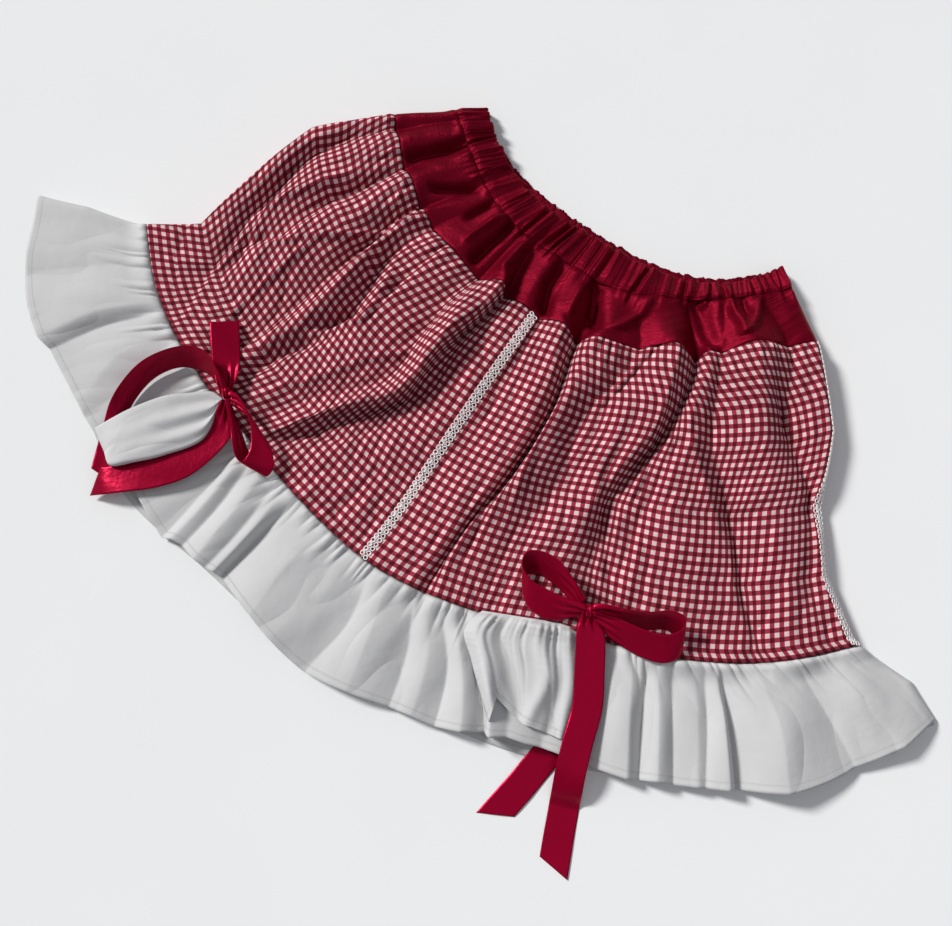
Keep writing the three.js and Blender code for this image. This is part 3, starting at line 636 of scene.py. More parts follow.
rows = np.linspace(SEAM + SEAM_GAP, HEM - SEAM_GAP, 50)
across_back = np.linspace(-1, 1, 240)
pressed = 0.5 + 0.2 * gathers(UNDER_YOKE, across_back[None, :], (rows[:, None] - SEAM) * BODY)
points = laid_back(across_back[None, :], rows[:, None], pressed)
middle = len(across_back) // 2 - 1
u, v = lengths_along(points, 1), lengths_along(points, 0)
cloth = np.stack([u - u[:, middle][:, None], v[-1] - v], -1) * MM
body_back = sheet_of("gingham_back_cloth", points, cloth, gingham_shader.material, COTTON_THICK)
sew_on(body_back, "gingham_back")

# The yoke: a band of dark red taffeta with a slub, gathered under the waist
# casing above and on to the body below, so that it stands in shiny puffs.

taffeta_shader = Shader("taffeta", 0.45, Metallic=0.6, Specular_IOR_Level=0.35)
taffeta_shader.surface.inputs["Specular Tint"].default_value = (1.0, 0.18, 0.28, 1.0)
place = taffeta_shader.node("ShaderNodeUVMap", {"uv_map": "cloth"}, {})
slub = taffeta_shader.noise(taffeta_shader.scaled(place, (60.0, 1600.0, 1.0)), 1.0, 4.0)
cloud = taffeta_shader.noise(place, 55.0)
TAFFETA = (0.250, 0.002, 0.020, 1.0)
TAFFETA_DEEP = (0.100, 0.001, 0.007, 1.0)
tone = taffeta_shader.mix(slub * 0.75 + cloud * 0.25, TAFFETA_DEEP, TAFFETA)
taffeta_shader.feed("Base Color", tone)
taffeta_shader.feed("Roughness", slub * 0.3 + 0.33)
crumpled = taffeta_shader.noise(taffeta_shader.scaled(place, (1.0, 0.45, 1.0)), 46.0, 1.0)
nubs = taffeta_shader.noise(place, 420.0) + taffeta_shader.noise(place, 90.0) * 1.6
taffeta_shader.bump(crumpled.folded() * 6.0 + slub * 1.4 + nubs, 0.00035)
TAFFETA_THICK = 0.0004

# The gathers of the elastic, uneven in width and height, which run askew up the casing
WAIST_TUCKS = drawn_up(11, 31, (0.45, 1.0), (14, 40), 0.75)
WAIST_TUCKS_FINE = drawn_up(12, 74, (0.2, 1.0), (5, 16), 0.8)
ABOVE_SEAM = drawn_up(13, 34, (0.3, 1.3), (5, 20), 0.8)
CRIMP_HIGH = 6.5  # mm, the tallest gather of the elastic

# The creases between the yoke's soft puffs, as for the body
YOKE_CREASES = [
    ([(-41.0, 231), (-40.9, 291)], 5, -9.7),
    ([(-29.8, 241), (-33.3, 281)], 4.5, -7.8),
    ([(-24.5, 236), (-24.6, 266)], 3.5, -6.9),
    ([(-20.8, 240), (-20.4, 283)], 3, 4.9),
    ([(-17.5, 233), (-16.9, 291)], 5, -9.7),
    ([(-12.1, 240), (-11.6, 281)], 4, 5.8),
    ([(-2.6, 236), (-2.6, 258), (-0.6, 287)], 6, -9.7),
    ([(3.5, 248), (3.8, 281)], 4, 5.8),
    ([(5.8, 236), (9.6, 282)], 6, -9.7),
    ([(18.3, 235), (16.7, 255), (12.7, 278)], 5, 5.8),
    ([(29.4, 234), (31.5, 282)], 8, -11.7),
    ([(35.5, 238), (36.9, 262), (36.4, 274)], 4, 6.9),
    ([(38.8, 234), (38.9, 251)], 3, -5.8),
    ([(42.0, 236), (40.1, 254), (37.3, 272)], 4, 5.8),
]


def yoke_rise(sweep, line, angle, radius):
    down = (line - GATHER) * YOKE
    up = YOKE - down
    drawn = CRIMP_HIGH * crimps(WAIST_TUCKS, sweep, 0.0, 1.2)
    drawn = drawn + 1.8 * crimps(WAIST_TUCKS_FINE, sweep, 0.0, 1.0)
    drawn = drawn * (1 - smooth(down / (8 + 14 * np.sin(sweep * 9.0 + 2.0) ** 2)))
    low = gathers(ABOVE_SEAM, sweep, up)
    puffs = crease_rise(angle, radius, YOKE_CREASES, 0.3)
    billow = 0.8 * np.sin(angle * 0.9 + radius * 0.06) * np.sin(radius * 0.11 - angle * 0.3)
    under = 1.0 * smooth((1.0 - down) / 1.5)
    puff = 1.8 * np.sin(np.pi * np.clip(down / YOKE, 0, 1)) ** 0.7
    drawn = drawn * (0.4 + 0.6 * smooth(down / 5))
    return drawn + low * smooth(up / 3 + 0.2) + puffs + billow * smooth(up / 12) + puff - under


def plain_cloth(points):
    """Cloth coordinates that run true across and down the piece, in metres."""
    return np.stack([lengths_along(points, 1), lengths_along(points, 0)], -1) * MM


# The yoke's cloth starts under the casing's foot, and ends just above the body
YOKE_TOP, YOKE_FOOT = GATHER - 0.03, SEAM - 0.003
rows = np.linspace(YOKE_TOP, YOKE_FOOT, 46)
across = even_along(lambda s: laid_front(s[None, :], rows[::8][:, None], yoke_rise), 460)
points = laid_front(across[None, :], rows[:, None], yoke_rise)
cloth = plain_cloth(points)
yoke_front = sheet_of("yoke_front_cloth", points, cloth, taffeta_shader.material, TAFFETA_THICK)
sew_on(yoke_front, "yoke_front")

rows = np.linspace(GATHER + 0.003, YOKE_FOOT, 16)
pressed = 0.45 + 0.45 * gathers(WAIST_TUCKS, across_back[None, :], (rows[:, None] - GATHER) * YOKE)
points = laid_back(across_back[None, :], rows[:, None], pressed)
cloth = plain_cloth(points)
yoke_back = sheet_of("yoke_back_cloth", points, cloth, taffeta_shader.material, TAFFETA_THICK)
sew_on(yoke_back, "yoke_back")

# The waist casing: taffeta folded double over a 25 mm elastic, which draws it
# into narrow sharp gathers with a frilled top edge. A row of stitches holds it.


# The casing reaches a little below the gather line, and stops just short of the top line
CASING_FOOT, CASING_TOP = GATHER + 0.012, TOP + 0.005


def casing_points(front, columns, around):
    """A flattened tube of cloth: its places go up the outside, from the gather line to the top
    edge, and back down the inside."""
    turn = np.linspace(0, 1, around)[:, None]
    outside = turn <= 0.5
    up = np.where(outside, turn * 2, 2 - turn * 2)
    line = CASING_FOOT - up * (CASING_FOOT - CASING_TOP)
    crest = crimps(WAIST_TUCKS, columns[None, :], up, 1.2)
    fine = crimps(WAIST_TUCKS_FINE, columns[None, :], up, 1.0)
    # The stitch line along the foot pinches the gathers without ending them
    body = (0.4 + 0.6 * smooth(up / 0.16)) * smooth((1 - up) / 0.12 + 0.35)
    half = 0.5 + (CRIMP_HIGH * crest + 2.0 * fine) * body
    frill = (2.4 * crest + 1.5 * fine - 1.6) * smooth((up - 0.8) * 5)
    thick = np.where(outside, half, -0.6)
    thick = np.where(up > 0.94, thick * np.sqrt(np.clip(1 - ((up - 0.94) / 0.06) ** 2, 0, 1)), thick)
    sweep, line = np.broadcast_arrays(columns[None, :], line)
    if front:
        flat = laid_front(sweep, line, lambda *_: 0.0)
        flat[..., 2] = np.maximum(flat[..., 2] + thick, 0.4)
    else:
        flat = laid_back(sweep, line, 1.5)
        flat[..., 2] = np.clip(flat[..., 2] + thick * 0.55, 0.3, 2.8)
    away = flat[..., :2] - CENTRE
    radius = np.linalg.norm(away, axis=-1, keepdims=True)
    flat[..., :2] -= away / radius * frill[..., None]
    return flat


across = np.linspace(-1, 1, 760)
points = casing_points(True, across, 44)
cloth = plain_cloth(points)
casing_front = sheet_of("casing_front_cloth", points, cloth, taffeta_shader.material, TAFFETA_THICK)
sew_on(casing_front, "casing_front")

points = casing_points(False, across, 30)
cloth = plain_cloth(points)
casing_back = sheet_of("casing_back_cloth", points, cloth, taffeta_shader.material, TAFFETA_THICK)
sew_on(casing_back, "casing_back")

# The hem ruffle: white cotton poplin with many small gathers along its seam,
# which run out into larger soft waves at its narrow stitched hem.

# The ridges and valleys of the front ruffle from left to right: angles and heights at its seam, its
# middle and its edge; how far it is pushed to the right; and its reach past the edge's line
RUFFLE_FOLDS = [
    ((-56, -56, -56), (3, 3, 3), 0, 0),
    ((-44.5, -45.5, -46), (5, 7, 4), 0, 0),
    ((-38.7, -40, -41.2), (3, 4, 2.5), 0, 2),
    ((-34.2, -35.6, -35.5), (5, 10, 8), 2, 4),
    ((-33.2, -34.2, -34.2), (2.5, 2, 1), 0, 0),
    ((-30.6, -30.9, -29.0), (5, 8, 5), 0, -1),
    ((-27.8, -28.0, -27.8), (3, 3.5, 3), 0, 0),
    ((-25.4, -26.4, -26.8), (4.5, 4, 3), 0, 0),
    ((-23.2, -24.0, -24.6), (2.5, 2, 1.5), 0, 0),
    ((-20.6, -20.6, -20.8), (4, 6, 5), 0, -2),
    ((-17.6, -16.7, -16.1), (2, 1.5, 0.5), 0, 8),
    ((-16.9, -15.7, -15.3), (4.5, 8.5, 6.2), -1.5, 3),
    ((-16.0, -14.9, -14.5), (2.5, 3, 2), 0, 0),
    ((-14.2, -13.4, -12.9), (6, 13.4, 11.2), 0, 0),
    ((-12.8, -12.0, -11.9), (3.5, 7.3, 7.5), 0, -2),
    ((-11.8, -11.4, -11.4), (5, 11, 10), 2, -4),
    ((-10.5, -10.6, -10.7), (2, 1.5, 0.5), 0, -6),
    ((-6.8, -7.0, -6.8), (6, 13.4, 12.5), 0, -3),
    ((-1.2, -0.4, -1.2), (2.5, 4, 2), 0, 4),
    ((0.7, 1.6, 2.2), (5, 11, 10), 0, 2),
    ((3.1, 4.8, 5.4), (2.5, 2, 1.5), 0, 0),
    ((4.4, 6.5, 7.2), (4.5, 8.5, 7.5), 0, 1),
    ((5.7, 8.2, 9.0), (2.5, 3, 2), 0, 3),
    ((6.9, 9.4, 10.9), (5, 12.2, 11.2), 0, 2),
    ((7.9, 10.6, 12.6), (2, 1.5, 0.5), 0, -2),
    ((8.7, 11.3, 13.4), (6, 17.1, 17.5), -5, 2),
    ((12.1, 12.9, 14.2), (4, 11, 11.2), 0, -2),
    ((14.6, 15.7, 15.6), (5, 11, 9), 0, 0),
    ((16.3, 16.9, 16.8), (4, 8, 7), 0, 0),
    ((17.6, 18.3, 18.6), (5, 10, 9), 2, 2),
    ((18.6, 19.4, 19.8), (2, 1.2, 0.5), 0, 3),
    ((22.8, 22.9, 23.2), (5.5, 13.4, 11.2), 0, 4),
    ((24.2, 24.0, 24.1), (2.5, 3, 2), 0, 2),
    ((25.0, 25.2, 25.4), (5, 11, 11.2), 0, 0),
    ((26.2, 26.4, 26.6), (2.5, 3, 4), 0, 0),
    ((28.0, 28.3, 28.3), (5, 8.5, 8.1), 0, 0),
    ((28.9, 29.1, 28.9), (3, 4.5, 5), 0, 0),
    ((29.8, 30.2, 30.4), (5, 11.6, 11.2), 1.5, 1),
    ((30.3, 30.8, 31.1), (1.5, 1, 0.5), 0, 0),
    ((33.3, 34.5, 34.6), (5.5, 15.9, 15), 0, 5),
    ((36.9, 38.6, 39.8), (2, 3, 2), 0, 0),
    ((39.4, 41.6, 43.6), (5, 11, 10), 0, 5),
    ((43.0, 45.0, 46.6), (3, 3, 2.5), 0, 0),
    ((56, 56, 56), (3, 3, 3), 0, 0),
]
UNDER_HEM = drawn_up(21, 84, (1.2, 4.0), (12, 58), 0.7)
UNDER_HEM_FINE = drawn_up(22, 150, (0.3, 1.1), (5, 18))


def ruffle_folds(line, angle):
    """The ruffle's own folds, which grow out of the folds of the gingham at the seam."""
    out = np.clip(line - HEM, 0, 1)
    own, over = pleated(RUFFLE_FOLDS, 2 * out, angle, 0.4)
    gingham, _ = fold_rise(np.full_like(line, HEM), angle)
    grown = smooth(out * 5)
    return gingham + (own - gingham) * grown, over * smooth(out * 2)


def ruffle_rise(sweep, line, angle, radius):
    down = np.clip(line - HEM, 0, 1) * RUFFLE
    drawn = gathers(UNDER_HEM, sweep, down, 0.8) + gathers(UNDER_HEM_FINE, sweep, down, 0.8)
    soft = 0.5 * np.sin(angle * 1.3 + radius * 0.04) * smooth(down / 40)
    return drawn * smooth(down / 4 + 0.1) + soft - 1.2 * (1 - smooth(down / 5))


def past_edge(angle, line):
    """How far the ruffle reaches past the edge's line, in mm."""
    at = [row[0][2] for row in RUFFLE_FOLDS]
    far = [row[3] for row in RUFFLE_FOLDS]
    return np.interp(angle, at, far) * np.clip(line - HEM, 0, 1) ** 2


poplin_shader = Shader("poplin", 0.8, Specular_IOR_Level=0.25)
place = poplin_shader.node("ShaderNodeUVMap", {"uv_map": "cloth"}, {})
cloud = poplin_shader.noise(place, 14.0)
WHITE_SHADED, WHITE_CLEAN = (0.55, 0.55, 0.557, 1.0), (0.60, 0.60, 0.605, 1.0)
poplin_shader.feed("Base Color", poplin_shader.mix(cloud, WHITE_SHADED, WHITE_CLEAN))
# The edge is turned under and stitched; v is 0 at the edge
HEM_TURN, STITCH_REACH = 0.006, 0.0006
from_edge = poplin_shader.node("ShaderNodeSeparateXYZ", {}, {0: place}, 1)
stitched = from_edge.maths("COMPARE", HEM_TURN, STITCH_REACH)
turned_under = from_edge.maths("LESS_THAN", HEM_TURN)
crumpled = poplin_shader.noise(poplin_shader.scaled(place, (1.0, 0.4, 1.0)), 24.0, 1.0)
relief = crumpled.folded() * 18.0
relief = relief + poplin_shader.noise(place, 70.0) * 1.5 + poplin_shader.noise(place, 1200.0) * 0.2
poplin_shader.bump(relief + turned_under * 0.6 - stitched * 0.5, 0.0004)


def strip_cloth(points):
    """Cloth coordinates of a long gathered strip, up from its edge, in metres."""
    wide = lengths_along(points, 1).mean(axis=0, keepdims=True)
    deep = lengths_along(points, 0).mean(axis=1, keepdims=True)
    return np.stack(np.broadcast_arrays(wide, deep[-1] - deep), -1) * MM


def ruffle_place(sweep, line):
    return laid_front(sweep[None, :], line[:, None], ruffle_rise, past_edge, ruffle_folds)


RUFFLE_GAP = 0.0015
rows = np.linspace(HEM + RUFFLE_GAP, EDGE - RUFFLE_GAP, 46)
across = even_along(lambda s: ruffle_place(s, rows[::6]), 900)
points = ruffle_place(across, rows)
cloth = strip_cloth(points)
ruffle_points = points.reshape(-1, 3)
ruffle_front = sheet_of("ruffle_front_cloth", points, cloth, poplin_shader.material, COTTON_THICK)
sew_on(ruffle_front, "ruffle_front")

rows = np.linspace(HEM + RUFFLE_GAP, EDGE - RUFFLE_GAP, 24)
across = np.linspace(-1, 1, 420)
pressed = 0.5 + 0.35 * gathers(UNDER_HEM, across[None, :], (rows[:, None] - HEM) * RUFFLE)
points = laid_back(across[None, :], rows[:, None], pressed)
cloth = strip_cloth(points)
ruffle_back = sheet_of("ruffle_back_cloth", points, cloth, poplin_shader.material, COTTON_THICK)
sew_on(ruffle_back, "ruffle_back")

# To the left of the right bow's long end the ruffle is folded over itself, and its edge is turned
# up at the corner. Its two sides and its foot, from the fan's centre in mm
BOX_LEFT = [(87, -544), (83, -566), (101, -584), (120, -602), (139, -619)]
BOX_RIGHT = [(163, -514), (176, -533), (188, -555), (196, -578), (202, -600)]
BOX_FOOT = [
    (139, -619), (134, -599), (149, -603), (164, -606), (179, -603), (192, -601), (202, -600),
]

# Its creases from left to right: how far across at its top, middle and foot, width, and mm high
BOX_CREASES = [
    ((0.10, 0.13, 0.10), 0.06, 2.2),
    ((0.30, 0.34, 0.46), 0.09, -3.0),
    ((0.60, 0.70, 0.50), 0.07, 3.4),
    ((0.78, 0.84, 0.74), 0.06, -2.4),
    ((0.93, 0.95, 0.90), 0.05, 1.4),
]
FOLD_THICK = 0.0006


def curve(path, place):
    """Places on the smooth curve through a path's evenly spaced points."""
    path = np.array(path, dtype=float)
    return np.stack([through(path[:, k], place) for k in range(path.shape[1])], axis=-1)


def turned_down(inside, reach):
    """The drop of a folded edge, from 1 at the edge to 0 at its reach inside it."""
    return 1 - np.sqrt(1 - (1 - np.clip(inside / reach, 0, 1)) ** 2)


def ruffle_under(flat):
    """The height of the ruffle's cloth under a grid of places, evened out, in mm."""
    near = np.all(np.abs(ruffle_points[:, :2] - flat.mean(axis=(0, 1))) < 90, axis=1)
    near = ruffle_points[near]
    found = []
    for row in flat:
        away = np.linalg.norm(row[:, None] - near[None, :, :2], axis=-1)
        found.append(near[np.argmin(away, axis=1), 2])
    return np.maximum(evened(np.stack(found), 17), 9.0)


drop = np.linspace(0, 1, 60)[:, None]
over = np.linspace(0, 1, 80)[None, :]
left, right = (curve(side, drop * (len(side) - 1)) for side in (BOX_LEFT, BOX_RIGHT))
flat_box = left + (right - left) * over[..., None]
stations = np.linspace(0, 1, len(BOX_FOOT))
foot = np.stack([np.interp(over[0], stations, np.array(BOX_FOOT, float)[:, k]) for k in range(2)], axis=-1)
flat_box = flat_box + (foot - flat_box[-1]) * (drop[..., None] ** 3)
flat_box = flat_box + CENTRE
under = ruffle_under(flat_box)
own = sum(
    deep * np.exp(-((over - through(at, drop * 2)) / wide) ** 2)
    for at, wide, deep in BOX_CREASES
)
# Two rows of small gathers fade down from the seam
coarse = np.sin(over * 2 * np.pi * 12 + 1.8 * np.sin(over * 9.0))
fine = np.sin(over * 2 * np.pi * 19 + 2.0 * np.sin(over * 14.0))
fading = np.exp(-drop * (5 + 2 * np.sin(over * 23.0)))
own = own + 1.1 * (coarse + 0.6 * fine) * fading * smooth(over * 9)
raised = smooth(drop * 9) * smooth((1 - over) * 7)
height = under + 2.2 * smooth((1 - over) * 7) + (2.0 + own) * raised * smooth(over * 12)
height = height - 2.5 * turned_down(over, 0.03)
points = np.concatenate([flat_box, height[..., None]], axis=-1)
from_foot = np.linalg.norm(points - points[-1:], axis=-1)
cloth = np.stack([lengths_along(points, 1), from_foot], -1) * MM
box_fold = sheet_of("ruffle_box_fold", points, cloth, poplin_shader.material, FOLD_THICK)
sew_on(box_fold, "ruffle_front")

# A fold of the ruffle is pulled through the left bow's long loop, and lies over the ribbon. Its
# two edges, from the knot to its outer end: from the fan's centre and the table, in mm
PULLED_UPPER = [
    (-203, -503, 19), (-216, -502, 19), (-231, -513, 21),
    (-248, -527, 23), (-268, -553, 22), (-287, -582, 14),
]
PULLED_LOWER = [
    (-203, -508, 20), (-197, -542, 22), (-217, -571, 23),
    (-236, -590, 23), (-253, -603, 20), (-266, -596, 13),
]

run_out = np.linspace(0, 5, 90)[:, None]
over = np.linspace(0, 1, 44)[None, :]
upper, lower = curve(PULLED_UPPER, run_out), curve(PULLED_LOWER, run_out)
points = upper + (lower - upper) * over[..., None]
# Pleats fan out from the knot and die away
pleats = np.sin(over * 2 * np.pi * 2.6 + 0.9 * np.sin(run_out) + 0.5)
pleats = 2.2 * pleats * np.exp(-((run_out - 1.3) / 1.6) ** 2)
points[..., 2] += pleats * np.sin(np.pi * over) ** 0.5 + 1.5 * np.sin(np.pi * over)
points[..., 2] -= 3.0 * turned_down(over, 0.06)
points[..., 2] -= 3.0 * turned_down(1 - over, 0.06)
points[..., :2] += CENTRE
cloth = plain_cloth(points)
pulled_fold = sheet_of("ruffle_pulled_fold", points, cloth, poplin_shader.material, FOLD_THICK)
sew_on(pulled_fold, "ruffle_front")

# Two lengths of white scroll gimp, 9 mm wide: a corded core with a row of small
# rings along each side. One runs down the middle of the body, one down its right side.

GIMP_WIDTH = 9.0
RING_PITCH = 4.6
RING_RADIUS, RING_CORD = 1.75, 0.5
BEAD = (1.0, 0.45, 0.6)
# How far the rings lie in from the edge, how far one row is shifted from the other as a share
# of the pitch, and how high they lie; then how far from the middle, how high and how askew
# the beads of the core lie
RING_IN, RING_SHIFT, RING_LIFT = 2.0, 0.22, 0.9
BEAD_ASIDE, BEAD_LIFT, BEAD_TWIST = 0.55, 1.15, 0.6
BEADS_PER_RING = 3
gimp_shader = Shader("gimp", 0.75)
gimp_shader.surface.inputs["Sheen Weight"].default_value = 0.3
place = gimp_shader.node("ShaderNodeTexCoord", {}, {}, "Object")
twist = gimp_shader.noise(place, 900.0)
CORD_SHADED, CORD_BRIGHT = (0.88, 0.86, 0.86, 1.0), (0.98, 0.97, 0.96, 1.0)
gimp_shader.feed("Base Color", gimp_shader.mix(twist, CORD_SHADED, CORD_BRIGHT))
gimp_shader.bump(twist, 0.0004)


def ring_of_cord(radius, cord):
    """A small ring lying flat, in metres from sizes in mm."""
    bm = bmesh.new()
    made = bmesh.ops.create_circle(bm, segments=6, radius=cord * MM)
    turned = Matrix.Rotation(math.pi / 2, 4, "X")
    bmesh.ops.transform(bm, matrix=Matrix.Translation((radius * MM, 0, 0)) @ turned, verts=made["verts"])
    bmesh.ops.spin(
        bm, geom=bm.verts[:] + bm.edges[:], cent=(0, 0, 0), axis=(0, 0, 1),
        angle=2 * math.pi, steps=14, use_merge=True,
    )
    bmesh.ops.recalc_face_normals(bm, faces=bm.faces[:])
    return bm


def bead_of_cord(long, wide, high):
    """A small turn of the core's cord, in metres from sizes in mm."""
    bm = bmesh.new()
    bmesh.ops.create_uvsphere(bm, u_segments=8, v_segments=6, radius=MM)
    bmesh.ops.scale(bm, vec=(long, wide, high), verts=bm.verts[:])
    return bm


def add_copies(bm, small, frames):
    """Adds a copy of a small bmesh at each of the frames."""
    template = bpy.data.meshes.new("small")
    small.to_mesh(template)
    small.free()
    for matrix in frames:
        first = len(bm.verts)
        bm.from_mesh(template)
        bm.verts.ensure_lookup_table()
        bmesh.ops.transform(bm, matrix=matrix, verts=bm.verts[first:])
    bpy.data.meshes.remove(template)


def frame_on(points, sides, normals, run, distance, aside, lift):
    """A frame on a strip at a distance along it, in metres: x along, y across, z out."""
    def at(values):
        return np.array([np.interp(distance, run, values[:, k]) for k in range(3)])
    centre, across, out = at(points), at(sides), at(normals)
    across, out = across / np.linalg.norm(across), out / np.linalg.norm(out)
    along = np.cross(across, out)
    place = (centre + across * aside + out * lift) * MM
    return Matrix((
        (along[0], across[0], out[0], place[0]),
        (along[1], across[1], out[1], place[1]),
        (along[2], across[2], out[2], place[2]),
        (0.0, 0.0, 0.0, 1.0),
    ))


def braid_on(name, column_of, half):
    """The gimp on the front's cloth; column_of gives its middle for each line."""
    lines = np.linspace(SEAM + 0.002, HEM - 0.002, 180)
    columns = column_of(lines)
    aside = half / (np.radians(side_angle(columns, 420.0)) * radius_at(columns, lines, STRAYS))
    middle = laid_front(columns, lines, body_rise)
    left = laid_front(columns - aside, lines, body_rise)
    right = laid_front(np.minimum(columns + aside, 1.0), lines, body_rise)
    ahead = laid_front(columns, lines + 0.01, body_rise)
    across = right - left
    along = ahead - middle
    out = np.cross(along, across)
    out *= np.where(out[:, 2:] < 0, -1.0, 1.0) / np.linalg.norm(out, axis=1, keepdims=True)
    for values in (across, out):
        for k in range(3):
            values[:, k] = np.convolve(np.pad(values[:, k], 4, "edge"), np.ones(9) / 9, "valid")
    run = np.concatenate([[0.0], np.cumsum(np.linalg.norm(np.diff(middle, axis=0), axis=1))])
    bm = bmesh.new()
    count = int(run[-1] / RING_PITCH)
    places = (np.arange(count) + 0.5) * run[-1] / count
    rings = []
    for distance in places:
        for side in (-1, 1):
            shifted = distance + side * RING_PITCH * RING_SHIFT
            off_middle = side * (half - RING_IN)
            rings.append(frame_on(middle, across, out, run, shifted, off_middle, RING_LIFT))
    add_copies(bm, ring_of_cord(RING_RADIUS, RING_CORD), rings)
    beads = []
    bead_count = count * BEADS_PER_RING
    for n in range(bead_count):
        distance = (n + 0.5) * run[-1] / bead_count
        side = 1 if n % 2 else -1
        bead = frame_on(middle, across, out, run, distance, BEAD_ASIDE * side, BEAD_LIFT)
        beads.append(bead @ Matrix.Rotation(BEAD_TWIST * side, 4, "Z"))
    add_copies(bm, bead_of_cord(*BEAD), beads)
    return finished(bm, name, gimp_shader.material)


# From the front's middle to the side fold, and how far in from it the second gimp lies, in mm
half_width = np.radians(43.0) * 450.0
SIDE_GIMP_IN = 4.9
for name, node, column_of in (
    ("braid_front_gimp", "braid_front", lambda lines: np.full_like(lines, FRONT_MIDDLE)),
    ("braid_side_gimp", "braid_side", lambda lines: np.full_like(lines, 1 - SIDE_GIMP_IN / half_width)),
):
    braid = braid_on(name, column_of, GIMP_WIDTH / 2)
    sew_on(braid, node)

# The two bows: red satin ribbon, 25 mm wide, tied at the hem seam. The left one has a long
# loop through which a fold of the ruffle is pulled; the right one lets two ends hang.

RIBBON_WIDTH = 25.0
SATIN_THICK = 0.0004

satin_shader = Shader("satin", 0.3, Metallic=0.4, Specular_IOR_Level=0.5)
satin_shader.surface.inputs["Specular Tint"].default_value = (1.0, 0.12, 0.25, 1.0)
place = satin_shader.node("ShaderNodeUVMap", {"uv_map": "cloth"}, {})
threads = satin_shader.noise(satin_shader.scaled(place, (60.0, 5000.0, 1.0)), 1.0, 2.0)
cloud = satin_shader.noise(place, 40.0)
SATIN_DEEP, SATIN = (0.27, 0.001, 0.020, 1.0), (0.33, 0.001, 0.026, 1.0)
satin_shader.feed("Base Color", satin_shader.mix(cloud, SATIN_DEEP, SATIN))
satin_shader.feed("Roughness", threads * 0.12 + 0.22)
satin_shader.bump(threads * 0.35 + satin_shader.noise(place, 120.0) * 3.0, 0.00012)

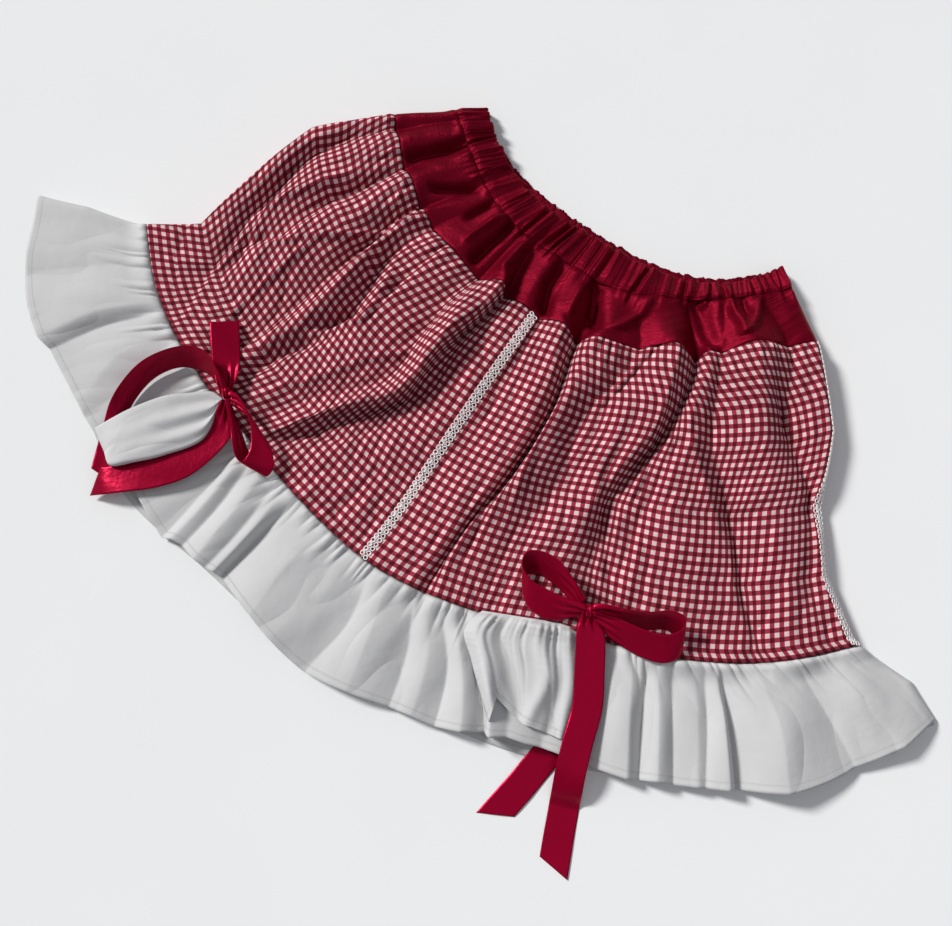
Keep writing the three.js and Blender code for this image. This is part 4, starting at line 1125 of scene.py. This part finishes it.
# How far each strip's cut end slants, and its path. A row of a path has x, y and z of the
# ribbon's middle, from the fan's centre and the table, the way its upper edge points and how
# steeply it stands, in degrees, and its width there. All sizes are in mm
BOW_STRIPS = {
    "bow_left_loop_long": (0, [
        (-203, -498, 25, 105, 60, 12),
        (-213, -490, 26.5, 110, 58, 18),
        (-229, -484, 26, 114, 54, 24),
        (-243, -485, 25, 118, 56, 25),
        (-257, -492, 24, 120, 64, 25),
        (-268, -505, 23.5, 124, 64, 25),
        (-275, -521, 22.5, 128, 60, 25),
        (-278, -541, 20, 134, 52, 25),
        (-277, -560, 16, 145, 35, 25),
        (-272, -578, 11, 155, 15, 25),
        (-265, -597, 9, 165, 5, 25),
        (-257, -614, 9, 178, 0, 25),
    ]),
    "bow_left_loop_back": (4, [
        (-197, -505, 24, 5, -10, 10),
        (-194, -514, 21, 0, -8, 17),
        (-190, -527, 18.5, -12, 0, 25),
        (-193, -548, 18, -28, 0, 27),
        (-201, -568, 17.5, -43, 0, 29),
        (-217, -587, 16.5, -52, 0, 29),
        (-235, -603, 15, -60, 0, 27),
        (-250, -615, 12.5, -64, -4, 25),
        (-260, -621, 8, -66, -8, 25),
    ]),
    "bow_left_loop_short": (0, [
        (-194, -500, 26, 140, 40, 15),
        (-181, -501, 27.5, 148, 22, 21),
        (-163, -508, 28, 158, 12, 24),
        (-149, -519, 27.5, 168, 12, 25),
        (-141, -531, 26, 176, 20, 25),
        (-142, -542, 24, 182, 30, 25),
        (-151, -541, 22, 180, 30, 25),
        (-161, -533, 22, 172, 28, 24),
        (-172, -523, 22.5, 162, 30, 20),
        (-184, -513, 24, 150, 45, 17),
        (-193, -505, 25, 140, 55, 14),
    ]),
    "bow_left_end": (-1.5, [
        (-202, -496, 22.5, 50, 10, 12),
        (-210, -485, 21.5, 49, 0, 20),
        (-220, -472, 20.5, 48, -8, 25),
        (-231, -458, 20, 47, -10, 26),
        (-243, -442, 19.5, 45, -10, 26),
    ]),
    "bow_right_loop_left": (0, [
        (157, -496, 25, 100, 50, 12),
        (144, -491, 26.5, 108, 38, 19),
        (126, -486, 27, 114, 38, 25),
        (110, -486, 27, 118, 46, 25),
        (100, -492, 27, 122, 46, 25),
        (102, -503, 26.5, 124, 36, 25),
        (114, -512, 26, 118, 28, 25),
        (130, -513, 25, 108, 26, 25),
        (145, -510, 24.5, 100, 33, 22),
        (156, -504, 24, 98, 48, 16),
        (161, -501, 24, 100, 60, 12),
    ]),
    "bow_right_loop_right": (0, [
        (166, -497, 24, 118, 60, 12),
        (176, -494, 25, 120, 56, 19),
        (193, -490, 26, 121, 56, 25),
        (210, -482, 27, 121, 56, 25),
        (225, -473, 27.5, 121, 52, 25),
        (239, -473, 27, 121, 42, 25),
        (242, -484, 26, 121, 32, 25),
        (232, -495, 25.5, 119, 28, 25),
        (214, -500, 25, 116, 30, 25),
        (195, -501, 24.5, 114, 38, 23),
        (178, -501, 24, 113, 50, 17),
        (168, -500, 24, 113, 60, 12),
    ]),
    "bow_right_end_long": (6, [
        (163, -498, 24.5, 22, 0, 11),
        (168, -506, 22, 24, 0, 17),
        (175, -515, 21.5, 26, 0, 24),
        (190, -543, 19, 30, 0, 25),
        (202, -568, 18, 22, 0, 25),
        (209, -596, 18, 16, 0, 25),
        (215, -617, 16.5, 15, 0, 25),
        (221, -633, 10, 16, 0, 25),
        (226, -645, 0.6, 17, 0, 25),
        (234, -668, 0.5, 17, 0, 25),
        (242, -690, 0.5, 17, 0, 25),
    ]),
    "bow_right_end_short": (-9, [
        (194, -612, 1.0, -2, 0, 25),
        (191, -628, 1.0, -5, 0, 25),
        (188, -646, 1.0, -8, 0, 25),
        (185, -660, 0.7, -10, 0, 25),
        (181, -679, 0.5, -10, 0, 25),
    ]),
}


def ribbon_points(path, slant, across_count=17, step=1.5):
    """Places on a ribbon, in mm from the skirt's middle: one row for each station along it."""
    path = np.array(path, dtype=float)
    last = len(path) - 1
    fine = np.linspace(0, last, 400)
    centre = curve(path[:, :3], fine)
    run = np.concatenate([[0.0], np.cumsum(np.linalg.norm(np.diff(centre, axis=0), axis=1))])
    places = np.interp(np.linspace(0, run[-1], int(run[-1] / step) + 1), run, fine)
    x, y, z, way, stand, wide = (through(path[:, k], places)[:, None] for k in range(6))
    centre = np.concatenate([x + CENTRE[0], y + CENTRE[1], np.maximum(z, 0.5)], axis=1)
    ahead = np.gradient(centre, axis=0)
    ahead /= np.linalg.norm(ahead, axis=1, keepdims=True)
    way, stand = np.radians(way), np.radians(stand)
    level = np.cos(stand)
    edge = np.concatenate([np.cos(way) * level, np.sin(way) * level, np.sin(stand)], axis=1)
    face = np.cross(ahead, edge)
    face /= np.linalg.norm(face, axis=1, keepdims=True)
    across = np.linspace(-1, 1, across_count)[None, :]
    drawn = np.maximum(1 - wide / RIBBON_WIDTH, 0)
    crease = np.cos(3 * np.pi * across) * drawn * 5.0
    crease = crease + 0.35 * np.sin(across * 2.1 + places[:, None] * 1.9)
    cut = across * slant * smooth(places[:, None] - last + 1)
    points = centre[:, None, :] + edge[:, None, :] * (across * wide / 2)[..., None]
    points = points + face[:, None, :] * crease[..., None] + ahead[:, None, :] * cut[..., None]
    points[..., 2] = np.maximum(points[..., 2], 0.25)
    return points


for node, (slant, path) in BOW_STRIPS.items():
    points = ribbon_points(path, slant)
    rows, columns = points.shape[:2]
    length = lengths_along(points, 0)[:, columns // 2]
    wide = np.linspace(0, RIBBON_WIDTH, columns)
    cloth = np.stack(np.broadcast_arrays(length[:, None], wide[None, :]), -1) * MM
    strip = sheet_of(node + "_ribbon", points, cloth, satin_shader.material, SATIN_THICK)
    sew_on(strip, node)


def knot_of(name, node, x, y, z, long, wide, high, turn):
    """The ribbon drawn tight round its own middle: a small barrel with pleats along the wrap."""
    bm = bmesh.new()
    bmesh.ops.create_uvsphere(bm, u_segments=40, v_segments=24, radius=1.0)
    for vertex in bm.verts:
        at = vertex.co.copy()
        around = math.atan2(at.z, at.y)
        barrel = (1 - abs(at.x) ** 3.2) ** 0.4 if abs(at.x) < 1 else 0.0
        pleat = 1 + 0.08 * math.sin(at.x * 9 + 0.6 * math.sin(around * 2))
        size = math.hypot(at.y, at.z)
        scale = barrel * pleat / size if size > 1e-6 else 0.0
        # x runs across the wrap, y and z go round it
        vertex.co = Vector((at.x * wide, at.y * scale * long, at.z * scale * high)) * MM
    turned = Matrix.Rotation(math.radians(turn + 90.0), 4, "Z")
    middle = Vector(((x + CENTRE[0]) * MM, (y + CENTRE[1]) * MM, z * MM))
    bmesh.ops.transform(bm, matrix=Matrix.Translation(middle) @ turned, verts=bm.verts[:])
    layer = bm.loops.layers.uv.new("cloth")
    for face in bm.faces:
        for loop in face.loops:
            loop[layer].uv = (loop.vert.co.x, loop.vert.co.y)
    knot = finished(bm, name, satin_shader.material)
    sew_on(knot, node)


knot_of("bow_left_knot_wrap", "bow_left_knot", -202, -497, 23.5, 6.0, 3.6, 5.5, -55)
knot_of("bow_right_knot_wrap", "bow_right_knot", 164.5, -499, 22.5, 6.0, 4.2, 5.8, -60)
